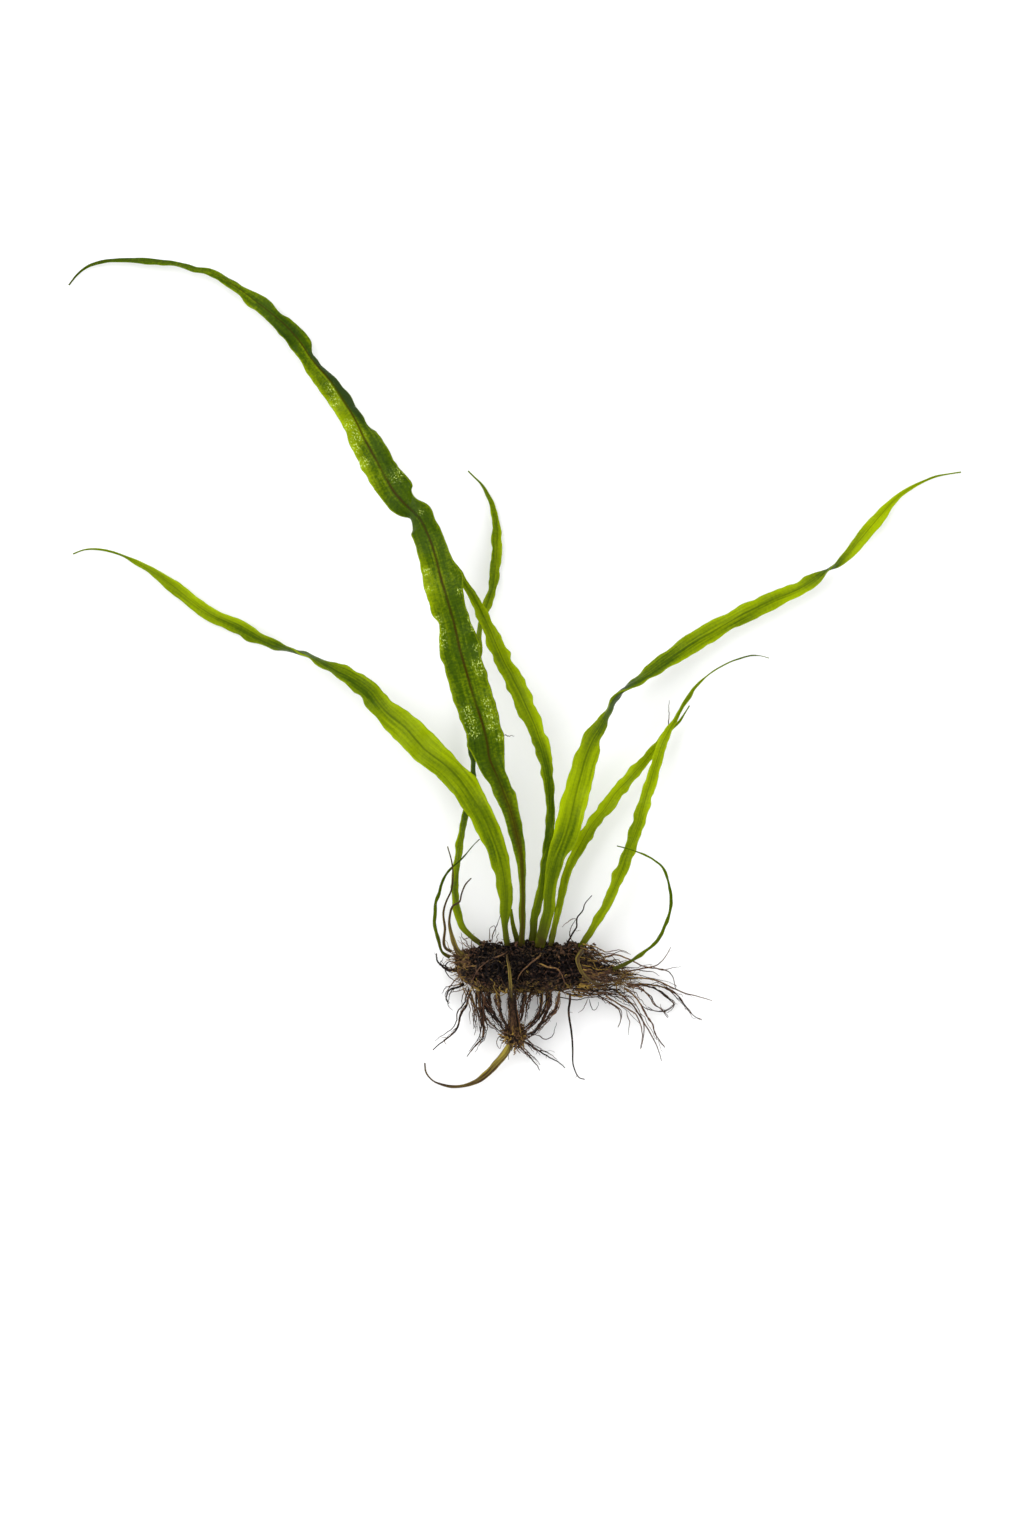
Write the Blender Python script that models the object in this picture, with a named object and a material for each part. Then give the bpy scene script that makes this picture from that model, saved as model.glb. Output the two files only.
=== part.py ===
"""Bare-root java fern lying on a flat surface.

Millimetres in this script, metres in the scene. The surface is z = 0 and the origin is the middle of the
rhizome's flattened underside. The leaves fan out towards +Y, so that +Y is up the plant and +Z is the side
that the plant shows when it is looked down on.
"""
import bpy
import numpy as np
from mathutils import Vector, noise
from mathutils.bvhtree import BVHTree

MM = 0.001
OBJECT_NAME = "java_fern"

# Clearance where one piece grows out of another
GAP = 0.35

# Leaf section: a lens with a midrib
STOUTEST_HALF = 0.42
ROUNDNESS = 0.72
RUFFLE_HEIGHT = 0.55
RUFFLE_LENGTH = 15.0
RUFFLE_FULL_WIDTH = 7.0
WIDE_SECTION = 8
SLIM_SECTION = 4

# Rhizome and the felt of roots on it, with its lumps as height and size
RHIZOME_POINTS = 26
RHIZOME_STATIONS = 35
LUMPS = ((1.5, 5.5), (1.3, 2.6))
KNOT_CENTRE = (-2.4, -17.7, 6.4)
KNOT_RADIUS = 2.3
KNOT_SEGMENTS = 10
KNOT_RINGS = 7

# Loose roots
ROOT_STEP = 3.0
TRIM_STEP = 0.2
ROOT_TIP_RADIUS = 0.16

# Colours, read as linear red, green and blue, and roughness
FINISHES = {
    "leaf_dark": ((0.045, 0.095, 0.004), 0.32),
    "leaf_bright": ((0.19, 0.31, 0.006), 0.38),
    "leaf_old": ((0.16, 0.12, 0.02), 0.5),
    "root_dark": ((0.030, 0.018, 0.010), 0.75),
    "root_brown": ((0.13, 0.065, 0.025), 0.65),
}

# The felt's section at stations along X: x, front y, back y, underside z, top z
RHIZOME_SECTIONS = (
    (-20.9, 2.0, 3.4, 4.2, 6.6),
    (-19.2, -1.6, 4.8, 1.2, 9.4),
    (-16.4, -4.6, 5.8, -0.8, 13.0),
    (-13.0, -6.0, 6.5, -1.5, 15.6),
    (-9.5, -5.8, 6.9, -1.8, 17.4),
    (-5.0, -6.4, 7.4, -1.8, 18.6),
    (0.0, -7.4, 7.4, -1.8, 18.6),
    (4.2, -7.8, 6.9, -1.8, 18.0),
    (8.5, -7.4, 7.3, -1.8, 17.6),
    (12.7, -6.9, 6.9, -1.6, 16.4),
    (17.0, -6.9, 5.9, -1.4, 14.8),
    (21.2, -7.8, 4.7, -0.8, 12.8),
    (24.9, -7.6, 2.4, 0.6, 10.8),
    (28.0, -6.6, 0.2, 1.8, 9.0),
    (30.4, -4.9, -1.8, 3.4, 7.2),
)

# Leaves from the rhizome to the tip: x, y, z, width, roll in degrees
LEAF_TALL = (
    (-0.6, 2.5, 9.5, 1.7, 0), (-0.6, 7.5, 12.0, 1.7, 0), (-0.4, 22.4, 17.0, 1.9, 0), (-0.8, 30.0, 19.5, 2.9, 5),
    (-3.4, 41.3, 22.5, 4.8, -8), (-5.0, 45.7, 23.5, 6.4, 4), (-6.8, 50.4, 24.5, 6.6, -18),
    (-8.9, 55.1, 25.0, 8.2, 0), (-9.9, 60.8, 26.0, 9.8, 6), (-12.9, 70.7, 26.5, 10.6, -4),
    (-16.7, 83.7, 26.0, 10.3, 0), (-20.8, 99.4, 24.0, 9.3, -4), (-24.6, 112.5, 21.0, 8.5, -12),
    (-26.7, 117.5, 19.5, 8.7, -46), (-29.6, 120.8, 18.0, 8.7, -50), (-33.0, 124.0, 16.0, 9.3, -12),
    (-40.0, 136.0, 12.0, 8.7, 0), (-47.2, 147.5, 9.0, 7.7, 28), (-51.9, 154.5, 7.5, 7.2, 40),
    (-56.2, 160.1, 6.5, 6.9, 38), (-61.5, 168.4, 4.8, 5.6, 4), (-66.9, 173.2, 4.2, 4.5, 0),
    (-76.7, 180.5, 3.0, 3.4, 35), (-86.2, 184.7, 2.8, 2.7, 66), (-101.6, 187.1, 2.2, 2.0, 45),
    (-110.6, 187.2, 1.6, 1.3, 20), (-116.8, 185.1, 0.9, 0.9, 0), (-120.6, 180.9, 0.5, 0.4, 0),
)
LEAF_LEFT = (
    (-3.0, 2.5, 9.0, 1.7, 0), (-4.5, 7.0, 11.0, 1.7, 0), (-4.9, 15.5, 12.7, 2.6, 0), (-6.5, 29.9, 15.5, 5.2, -5),
    (-11.3, 41.5, 16.0, 7.0, 3), (-19.7, 53.0, 15.0, 7.2, -3), (-25.7, 57.5, 14.0, 8.2, 0),
    (-31.5, 63.8, 12.5, 7.4, 4), (-40.6, 73.0, 9.5, 5.6, 12), (-50.7, 79.1, 6.6, 4.4, 42),
    (-57.3, 82.8, 5.0, 4.1, 78), (-62.9, 84.4, 4.2, 3.8, 112), (-69.8, 87.1, 3.6, 3.7, 148),
    (-79.1, 91.9, 3.2, 3.8, 172), (-88.3, 97.4, 2.6, 4.0, 180), (-92.6, 100.9, 2.2, 3.7, 184),
    (-98.5, 105.1, 1.7, 2.1, 180), (-106.7, 109.4, 1.1, 0.9, 180), (-113.9, 111.0, 0.8, 0.6, 180),
    (-119.5, 109.7, 0.5, 0.4, 180),
)
LEAF_BACK = (
    (-8.0, 4.0, 7.0, 1.5, 0), (-12.8, 7.8, 6.2, 1.5, 0), (-16.1, 11.3, 5.8, 1.6, 25), (-18.2, 18.5, 5.4, 2.6, 48),
    (-18.0, 25.8, 5.4, 2.8, 50), (-16.4, 36.6, 5.1, 2.9, 52), (-13.8, 48.0, 4.8, 2.8, 58),
    (-14.1, 58.3, 4.5, 2.7, 55), (-13.7, 65.7, 4.4, 2.8, 48), (-12.2, 82.9, 4.0, 2.9, 50),
    (-10.6, 94.5, 3.6, 2.9, 44), (-8.0, 103.0, 3.1, 3.0, 35), (-7.2, 112.3, 2.5, 2.9, 20),
    (-7.9, 120.8, 1.7, 1.9, 10), (-9.1, 124.5, 1.3, 1.2, 0), (-11.1, 127.9, 0.9, 0.7, 0),
    (-14.8, 131.7, 0.5, 0.4, 0),
)
LEAF_MIDDLE = (
    (2.0, 3.0, 8.0, 2.0, 0), (2.2, 8.0, 10.0, 2.0, 0), (4.0, 18.0, 12.0, 2.1, 0), (6.3, 32.5, 14.0, 2.5, 0),
    (7.0, 42.0, 14.6, 2.7, 22), (6.8, 47.5, 14.6, 2.9, 28), (5.0, 57.7, 14.4, 4.0, 14), (0.8, 68.7, 13.8, 5.4, -4),
    (-2.2, 75.1, 13.0, 5.2, 0), (-6.1, 82.7, 11.8, 4.2, -10), (-12.1, 95.9, 9.6, 2.8, 0),
    (-17.7, 105.9, 8.3, 1.6, 0), (-19.5, 109.6, 8.0, 0.6, 0),
)
LEAF_RIGHT = (
    (3.5, 3.5, 10.0, 2.1, 0), (4.8, 8.1, 12.5, 2.1, 0), (6.8, 21.0, 14.6, 3.3, 4), (8.3, 28.4, 16.0, 4.9, -4),
    (11.3, 36.8, 17.0, 6.8, 4), (14.5, 50.1, 16.8, 6.9, 5), (17.3, 58.8, 15.0, 5.8, 22),
    (20.5, 64.8, 12.6, 5.2, 50), (23.0, 69.8, 10.6, 4.8, 70), (26.3, 73.6, 9.0, 4.5, 98),
    (31.5, 77.0, 7.6, 4.5, 128), (37.2, 81.0, 6.8, 4.8, 150), (50.4, 89.4, 5.6, 4.9, 176),
    (66.1, 97.6, 4.8, 4.1, 176), (76.1, 102.4, 4.3, 3.3, 142), (81.2, 105.9, 4.0, 3.0, 92),
    (84.8, 108.8, 3.6, 2.8, 50), (88.3, 112.8, 3.2, 2.9, 20), (93.1, 118.5, 2.6, 2.8, 0),
    (97.1, 123.0, 2.0, 1.9, 0), (104.8, 128.5, 1.1, 0.8, 0), (109.9, 130.4, 0.8, 0.5, 0),
    (115.8, 131.4, 0.5, 0.4, 0),
)
LEAF_RIGHT_NARROW = (
    (6.4, 3.5, 8.0, 1.6, 0), (7.2, 7.7, 9.0, 1.6, 0), (10.0, 19.6, 10.0, 2.0, 0), (12.9, 29.3, 10.2, 2.8, 5),
    (17.9, 38.3, 9.6, 3.6, -5), (23.4, 45.6, 8.6, 4.0, 6), (27.9, 50.4, 7.6, 3.6, -8), (32.7, 55.9, 6.2, 2.9, 12),
    (38.0, 62.8, 4.2, 1.7, 0), (40.2, 64.4, 3.4, 1.0, 0), (42.6, 67.6, 2.2, 0.5, 0), (43.8, 69.5, 1.5, 0.4, 0),
)
LEAF_RIGHT_SLIM = (
    (11.5, 3.0, 7.0, 1.6, 0), (14.7, 5.8, 8.0, 1.6, 0), (17.4, 9.8, 9.0, 2.0, 0), (21.5, 17.0, 11.0, 3.0, -6),
    (27.3, 30.7, 12.4, 3.9, 0), (31.9, 44.9, 11.4, 3.5, -6), (36.6, 59.8, 8.4, 2.4, 0), (40.0, 66.0, 6.8, 1.3, 0),
    (43.8, 72.2, 4.8, 1.1, 0), (47.2, 76.3, 3.2, 0.5, 0), (51.9, 79.7, 2.0, 0.5, 0), (56.7, 81.9, 1.3, 0.4, 0),
    (62.0, 82.8, 0.7, 0.4, 0), (65.0, 82.1, 0.5, 0.3, 0),
)
LEAF_CURL_RIGHT = (
    (21.0, -1.0, 9.5, 1.2, 0), (24.4, 0.6, 12.2, 1.2, 0), (31.8, 5.0, 13.8, 1.3, 0), (35.0, 7.9, 14.5, 1.3, 10),
    (38.1, 15.0, 15.5, 1.2, 14), (38.5, 19.5, 16.0, 1.1, -10), (37.7, 23.4, 16.2, 1.0, 8),
    (36.4, 26.8, 16.2, 0.9, 0), (33.5, 29.2, 16.2, 0.8, 0), (29.8, 31.0, 16.0, 0.6, 0), (24.3, 32.6, 16.0, 0.4, 0),
)
LEAF_OUTER_LEFT = (
    (-18.0, 2.0, 5.0, 1.1, 0), (-21.1, 3.9, 5.6, 1.1, 0), (-22.7, 8.1, 6.2, 1.1, 0), (-23.6, 13.6, 7.2, 1.3, 8),
    (-22.5, 20.1, 8.0, 1.2, -8), (-21.4, 23.5, 8.6, 1.1, 0), (-18.7, 27.1, 9.4, 0.9, 0),
    (-16.6, 28.8, 9.8, 0.7, 0), (-11.7, 34.3, 10.0, 0.4, 0),
)
PLANTLET_LEAF = (
    (-2.6, -17.6, 7.0, 1.5, 0), (-2.9, -18.5, 6.5, 1.6, 0), (-5.0, -22.3, 4.8, 2.0, -8), (-7.1, -25.1, 4.0, 2.2, 10),
    (-9.4, -27.6, 3.2, 2.0, -10), (-12.2, -29.8, 2.4, 1.5, 6), (-18.3, -31.4, 1.3, 0.7, 0),
    (-23.6, -30.2, 0.8, 0.5, 0), (-26.2, -27.0, 0.5, 0.4, 0), (-26.3, -25.1, 0.5, 0.35, 0),
)

# Stalks without a blade, the same columns
STEM_BROWN_OUTER = (
    (-17.5, 2.5, 7.5, 1.2, 0), (-20.5, 5.4, 9.0, 1.2, 0), (-20.8, 11.2, 10.4, 1.1, 0), (-21.2, 15.1, 11.2, 1.0, 0),
    (-19.2, 20.7, 12.2, 0.9, 0), (-18.7, 24.9, 12.6, 0.8, 0), (-18.9, 27.8, 12.8, 0.6, 0),
    (-20.1, 32.4, 13.0, 0.4, 0),
)
STEM_BROWN_INNER = (
    (-14.5, 2.0, 7.5, 1.3, 0), (-17.1, 4.5, 8.2, 1.3, 0), (-19.2, 8.5, 8.5, 1.2, 0), (-19.9, 13.6, 8.4, 1.0, 0),
    (-17.0, 17.8, 8.5, 0.9, 0), (-15.3, 22.5, 8.9, 0.7, 0), (-13.9, 24.0, 9.2, 0.4, 0),
)
LEAF_BUD_LEFT = (
    (-1.4, 4.0, 7.5, 1.4, 0), (-1.9, 7.7, 8.6, 1.4, 0), (-3.0, 12.0, 9.6, 1.2, 0), (-3.4, 15.9, 10.4, 0.4, 0),
)
LEAF_BUD_RIGHT = (
    (6.2, 4.0, 11.5, 1.2, 0), (7.3, 7.8, 13.4, 1.2, 0), (7.9, 12.1, 14.4, 1.1, 0), (8.8, 16.3, 15.2, 0.4, 0),
)
RHIZOME_BRANCH = (
    (15.2, 5.2, 10.5, 1.9, 0), (14.2, 4.4, 13.8, 1.9, 0), (13.6, 2.9, 16.2, 2.0, 0), (14.2, 1.0, 17.0, 2.0, 0),
    (15.6, -0.9, 16.7, 2.0, 0), (17.4, -2.5, 15.5, 1.7, 0), (18.8, -3.6, 13.4, 1.2, 0), (19.8, -4.3, 11.2, 1.0, 0),
)
PLANTLET_STEM = (
    (-4.6, 5.4, 13.5, 1.9, 0), (-4.4, 3.8, 17.8, 1.9, 0), (-4.0, 1.2, 20.0, 1.9, 0), (-3.7, -1.8, 20.0, 1.9, 0),
    (-3.5, -4.8, 17.9, 1.9, 0), (-3.3, -7.9, 13.9, 1.8, 0), (-3.0, -11.2, 10.5, 1.7, 0),
    (-2.6, -15.0, 8.0, 1.6, 0), (-2.5, -17.0, 7.0, 1.5, 0),
)

# Loose roots: the radius where the root starts, then its route as x, y, z
ROOTS = {
    "root_right_1": (0.42, (
        (18.0, 2.5, 9.0), (24.5, 3.8, 9.4), (27.9, 2.5, 9.4), (31.0, 1.0, 9.2), (33.7, 0.6, 9.0), (37.1, 3.2, 8.6),
        (38.7, 5.8, 8.4))),
    "root_right_2": (0.42, (
        (22.7, -0.8, 7.5), (29.4, -0.3, 7.2), (32.7, 0.4, 6.9), (35.3, 0.1, 6.6), (38.5, -1.1, 6.0),
        (39.6, -3.2, 5.4), (40.1, -5.1, 5.0))),
    "root_right_3": (0.45, (
        (25.0, -2.9, 7.0), (30.0, -2.4, 6.0), (35.4, -3.2, 5.4), (38.6, -4.8, 4.6), (42.4, -6.5, 3.4),
        (45.4, -7.2, 2.6), (49.8, -8.6, 1.4))),
    "root_right_4": (0.42, (
        (26.7, -4.1, 4.6), (33.8, -4.3, 3.8), (36.5, -4.9, 3.4), (39.7, -6.4, 2.8), (43.6, -11.1, 1.6),
        (45.7, -13.2, 1.0), (47.1, -13.6, 0.7))),
    "root_right_5": (0.40, (
        (26.5, -5.2, 3.4), (31.1, -4.4, 2.4), (35.2, -5.7, 2.0), (38.1, -7.9, 1.6), (39.6, -9.5, 1.3),
        (37.6, -11.3, 1.0), (35.0, -11.4, 0.8), (32.8, -10.3, 0.6))),
    "root_right_6": (0.42, (
        (25.3, -3.3, 8.6), (31.0, -5.2, 8.0), (32.9, -7.1, 7.4), (34.0, -9.0, 6.8), (36.4, -10.9, 6.0),
        (38.0, -12.9, 5.2))),
    "root_right_7": (0.45, (
        (24.0, -2.9, 6.0), (28.9, -6.9, 5.8), (31.0, -9.8, 5.4), (32.1, -12.1, 5.0), (33.8, -14.4, 4.4),
        (34.9, -17.6, 3.8), (37.2, -20.8, 3.0))),
    "root_right_8": (0.45, (
        (22.6, -4.6, 3.6), (25.6, -6.9, 3.6), (28.3, -9.3, 3.4), (30.9, -13.0, 3.0), (33.1, -16.6, 2.4),
        (34.4, -19.0, 2.0), (36.5, -24.6, 1.0))),
    "root_right_9": (0.42, (
        (19.5, -5.5, 8.5), (25.6, -9.6, 7.4), (29.3, -11.9, 6.6), (30.7, -14.3, 6.4), (31.2, -17.3, 5.2),
        (30.7, -21.3, 3.8))),
    "root_right_10": (0.40, (
        (17.4, -5.4, 6.0), (23.0, -9.3, 5.0), (25.1, -10.9, 4.4), (25.6, -13.1, 3.8), (24.8, -15.5, 3.2))),
    "root_long": (0.50, (
        (12.1, -4.5, 9.0), (12.1, -8.4, 8.0), (11.8, -10.5, 7.0), (12.4, -16.2, 5.4), (12.9, -21.0, 4.0),
        (13.2, -26.3, 2.2), (14.8, -29.1, 1.2), (16.0, -29.4, 0.8))),
    "root_left_1": (0.55, (
        (-16.4, -0.6, 6.0), (-19.9, -0.3, 4.6), (-21.6, 0.6, 3.8), (-22.9, 2.0, 3.2), (-23.2, 4.0, 2.8))),
    "root_left_2": (0.45, (
        (-14.3, -3.6, 4.0), (-17.6, -5.0, 3.4), (-19.3, -5.4, 3.0), (-20.3, -6.6, 2.6), (-20.6, -7.9, 2.0),
        (-20.0, -9.5, 1.4))),
    "root_left_3": (0.50, (
        (-13.6, -4.5, 8.0), (-14.8, -7.9, 7.4), (-15.2, -9.5, 6.6), (-16.7, -11.9, 5.6), (-17.2, -14.4, 4.6),
        (-18.0, -16.3, 3.6), (-21.2, -19.1, 2.0), (-24.1, -21.7, 1.0))),
    "root_strand_1": (0.45, (
        (-11.8, -4.6, 5.0), (-11.6, -9.3, 5.0), (-10.8, -13.6, 4.6), (-10.8, -17.8, 3.8), (-13.0, -20.5, 2.6),
        (-15.1, -23.5, 1.4))),
    "root_strand_2": (0.42, (
        (-9.6, -4.6, 8.0), (-9.0, -9.7, 8.0), (-7.1, -13.2, 7.6), (-5.3, -15.8, 7.2), (-3.4, -17.1, 6.8))),
    "root_strand_3": (0.42, (
        (-6.9, -4.6, 11.5), (-6.3, -9.6, 11.5), (-5.8, -12.8, 10.2), (-4.6, -15.2, 9.0), (-2.9, -17.1, 7.6))),
    "root_strand_4": (0.45, (
        (0.0, -5.2, 4.5), (-0.3, -9.3, 4.4), (-0.8, -13.1, 4.2), (-1.6, -15.7, 4.4), (-2.4, -17.3, 5.0))),
    "root_strand_5": (0.45, (
        (4.5, -5.2, 9.5), (4.5, -9.6, 9.6), (3.4, -12.3, 9.4), (1.0, -15.5, 8.6), (-1.6, -17.4, 7.0))),
    "root_strand_6": (0.48, (
        (6.8, -5.2, 5.6), (6.2, -10.4, 5.4), (4.5, -14.1, 5.0), (2.1, -17.0, 4.8), (-1.3, -18.0, 5.8))),
    "root_strand_7": (0.40, (
        (9.6, -5.2, 12.0), (8.4, -10.1, 11.6), (5.5, -13.3, 11.2), (2.6, -16.2, 10.0), (-1.3, -17.6, 7.6))),
    "root_below_1": (0.40, (
        (-1.8, -17.9, 5.0), (1.0, -19.9, 3.6), (3.2, -21.3, 2.8), (6.6, -23.5, 2.0), (9.0, -24.8, 1.4),
        (10.9, -26.4, 0.9))),
    "root_below_2": (0.38, (
        (-2.1, -18.4, 6.4), (-0.8, -20.9, 5.6), (1.4, -23.2, 4.6), (3.2, -25.4, 3.4), (4.2, -27.0, 2.4))),
    "root_top": (0.40, (
        (10.6, 4.2, 12.0), (11.8, 7.8, 14.0), (12.8, 9.8, 14.6), (13.7, 11.3, 15.0), (13.9, 13.7, 15.4),
        (15.3, 15.5, 15.6), (15.9, 17.4, 15.8), (17.8, 19.7, 16.0))),
}


def clear_scene():
    """Remove whatever the scene holds, so that the script always starts from nothing."""
    for item in list(bpy.data.objects):
        bpy.data.objects.remove(item, do_unlink=True)


def make_collection(name):
    """A new collection under the scene's own."""
    collection = bpy.data.collections.new(name)
    bpy.context.scene.collection.children.link(collection)
    return collection


def finish(node, kind):
    """Give a node its own Principled material in one of the plant's finishes."""
    colour, roughness = FINISHES[kind]
    material = bpy.data.materials.new(node.name)
    material.use_nodes = True
    shader = material.node_tree.nodes["Principled BSDF"]
    shader.inputs["Base Color"].default_value = (*colour, 1.0)
    shader.inputs["Roughness"].default_value = roughness
    shader.inputs["Metallic"].default_value = 0.0
    node.data.materials.append(material)


def smooth(station, rows, at):
    """Cubic curve through rows that stand at stations, read at other stations."""
    slope = np.gradient(rows, station, axis=0)
    i = np.clip(np.searchsorted(station, at, side="right") - 1, 0, len(station) - 2)
    span = (station[i + 1] - station[i])[:, None]
    t = (at - station[i])[:, None] / span
    start = (2 * t**3 - 3 * t**2 + 1) * rows[i] + (t**3 - 2 * t**2 + t) * span * slope[i]
    return start + (3 * t**2 - 2 * t**3) * rows[i + 1] + (t**3 - t**2) * span * slope[i + 1]


def follow(rows, step):
    """Rows at even steps along the smooth path that the rows' first three columns give."""
    rows = np.array(rows, dtype=float)
    chords = np.linalg.norm(np.diff(rows[:, :3], axis=0), axis=1)
    station = np.concatenate(([0.0], np.cumsum(chords)))
    count = 1 + max(2, round(station[-1] / step))
    return smooth(station, rows, np.linspace(0.0, station[-1], count))


def unit(vectors):
    """The same directions at length one."""
    return vectors / np.linalg.norm(vectors, axis=1, keepdims=True)


def leaf_rings(rows, section, step):
    """Rings of a lens section carried along the leaf, rolled about its midrib and ruffled at its edges."""
    line = follow(rows, step)
    place = line[:, :3]
    half_width = line[:, 3:4] / 2
    roll = np.radians(line[:, 4:5])
    along = unit(np.gradient(place, axis=0))
    side = unit(np.cross((0.0, 0.0, 1.0), along))
    up = np.cross(along, side)
    across = np.cos(roll) * side + np.sin(roll) * up
    face = np.cos(roll) * up - np.sin(roll) * side

    angle = 2 * np.pi * np.arange(section) / section
    half_depth = np.minimum(STOUTEST_HALF, ROUNDNESS * half_width)
    distance = np.arange(len(line))[:, None] * step
    wave = 2 * np.pi * distance / RUFFLE_LENGTH + 1.3 * np.sign(np.cos(angle))
    ruffle = RUFFLE_HEIGHT * np.sin(wave) * np.cos(angle) ** 2
    ruffle = ruffle * np.clip(2 * half_width / RUFFLE_FULL_WIDTH, 0.0, 1.0) ** 2
    sideways = half_width * np.cos(angle)
    outward = half_depth * np.sin(angle) + ruffle
    return place[:, None] + across[:, None] * sideways[..., None] + face[:, None] * outward[..., None]


def rhizome_rings(grown):
    """Oval sections along X with lumps on them, cut off flat where they would sink into the surface."""
    rows = np.array(RHIZOME_SECTIONS)
    stations = np.linspace(rows[0, 0], rows[-1, 0], RHIZOME_STATIONS)
    front, back, low, high = smooth(rows[:, 0], rows[:, 1:], stations).T[:, :, None]
    angle = 2 * np.pi * np.arange(RHIZOME_POINTS) / RHIZOME_POINTS
    x = np.repeat(stations[:, None], RHIZOME_POINTS, axis=1)
    y = (front + back) / 2 + (back - front) / 2 * np.cos(angle)
    z = (low + high) / 2 + (high - low) / 2 * np.sin(angle)
    for ring, point in np.ndindex(x.shape):
        spot = Vector((x[ring, point], y[ring, point], z[ring, point]))
        lump = grown + sum(height * noise.noise(spot / size) for height, size in LUMPS)
        y[ring, point] += lump * np.cos(angle[point])
        z[ring, point] += lump * np.sin(angle[point])
    return np.stack((x, y, np.maximum(z, -grown)), axis=2)


def knot_rings(grown):
    """A small lumpy ball of roots, as rings about X."""
    polar = np.linspace(0.12 * np.pi, 0.88 * np.pi, KNOT_RINGS)[:, None]
    angle = 2 * np.pi * np.arange(KNOT_SEGMENTS) / KNOT_SEGMENTS
    radius = KNOT_RADIUS + grown + 0.25 * np.sin(3 * angle + 4 * polar)
    x = -radius * np.cos(polar)
    y = radius * np.sin(polar) * np.cos(angle)
    z = radius * np.sin(polar) * np.sin(angle)
    return np.stack((x, y, z), axis=2) + np.array(KNOT_CENTRE)


def loft_faces(rings, points):
    """Quads between neighbouring rings and a flat cap on each end."""
    faces = []
    for ring in range(rings - 1):
        for point in range(points):
            after = (point + 1) % points
            first = ring * points
            faces.append((first + point, first + after, first + points + after, first + points + point))
    faces.append(tuple(range(points))[::-1])
    faces.append(tuple(range((rings - 1) * points, rings * points)))
    return faces


def loft(name, rings, collection):
    """A closed solid through rings of points."""
    mesh = bpy.data.meshes.new(name)
    mesh.from_pydata(rings.reshape(-1, 3) * MM, [], loft_faces(len(rings), rings.shape[1]))
    mesh.shade_smooth()
    node = bpy.data.objects.new(name, mesh)
    collection.objects.link(node)
    return node


def cutter(name, rings, collection):
    """The space that a solid and its clearance take, to cut other pieces with."""
    tool = loft(name, rings, collection)
    tool.display_type = "WIRE"
    tool.hide_render = True
    return tool


def grow_from(node, tools):
    """Cut a piece off where it comes out of its carriers."""
    for tool in tools:
        cut = node.modifiers.new(tool.name, "BOOLEAN")
        cut.operation = "DIFFERENCE"
        cut.solver = "EXACT"
        cut.object = tool


def search_tree(rings):
    """A tree that finds the nearest face of a lofted solid, in millimetres."""
    return BVHTree.FromPolygons(rings.reshape(-1, 3).tolist(), loft_faces(len(rings), rings.shape[1]))


def is_clear(point, clearance, trees):
    """Whether a point stands outside every solid by the clearance."""
    for tree in trees:
        nearest, normal, _, distance = tree.find_nearest(Vector(point))
        if distance < clearance or (Vector(point) - nearest).dot(normal) < 0:
            return False
    return True


def root(name, radius, rows, trees, collection):
    """A tapering root as a curve, from where it leaves the felt to its tip or to the next solid."""
    path = follow(rows, TRIM_STEP)
    free = [is_clear(point, radius + GAP, trees) for point in path]
    first = free.index(True)
    last = len(free) - free[::-1].index(True)
    path = path[first:last]
    count = 1 + max(3, round(len(path) * TRIM_STEP / ROOT_STEP))
    path = path[np.linspace(0, len(path) - 1, count).astype(int)]

    curve = bpy.data.curves.new(name, "CURVE")
    curve.dimensions = "3D"
    curve.bevel_depth = radius * MM
    curve.bevel_resolution = 0
    curve.use_fill_caps = True
    spline = curve.splines.new("POLY")
    spline.points.add(count - 1)
    tip = ROOT_TIP_RADIUS / radius
    for index, (point, place) in enumerate(zip(spline.points, path)):
        point.co = (*(place * MM), 1.0)
        point.radius = 1.0 + (tip - 1.0) * index / (count - 1)
    node = bpy.data.objects.new(name, curve)
    collection.objects.link(node)
    return node


def build_leaves(collection, felt):
    """Every leaf with a blade, cut where its stalk leaves the felt."""
    leaves = (
        ("leaf_tall", LEAF_TALL, WIDE_SECTION, 3.6, "leaf_dark"),
        ("leaf_left", LEAF_LEFT, WIDE_SECTION, 3.6, "leaf_bright"),
        ("leaf_back", LEAF_BACK, SLIM_SECTION, 3.2, "leaf_dark"),
        ("leaf_middle", LEAF_MIDDLE, WIDE_SECTION, 3.6, "leaf_bright"),
        ("leaf_right", LEAF_RIGHT, WIDE_SECTION, 3.4, "leaf_bright"),
        ("leaf_right_narrow", LEAF_RIGHT_NARROW, SLIM_SECTION, 3.2, "leaf_bright"),
        ("leaf_right_slim", LEAF_RIGHT_SLIM, SLIM_SECTION, 3.2, "leaf_bright"),
        ("leaf_curl_right", LEAF_CURL_RIGHT, SLIM_SECTION, 2.4, "leaf_dark"),
        ("leaf_outer_left", LEAF_OUTER_LEFT, SLIM_SECTION, 2.4, "leaf_dark"),
    )
    for name, rows, section, step, kind in leaves:
        node = loft(name, leaf_rings(rows, section, step), collection)
        grow_from(node, [felt])
        finish(node, kind)


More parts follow.
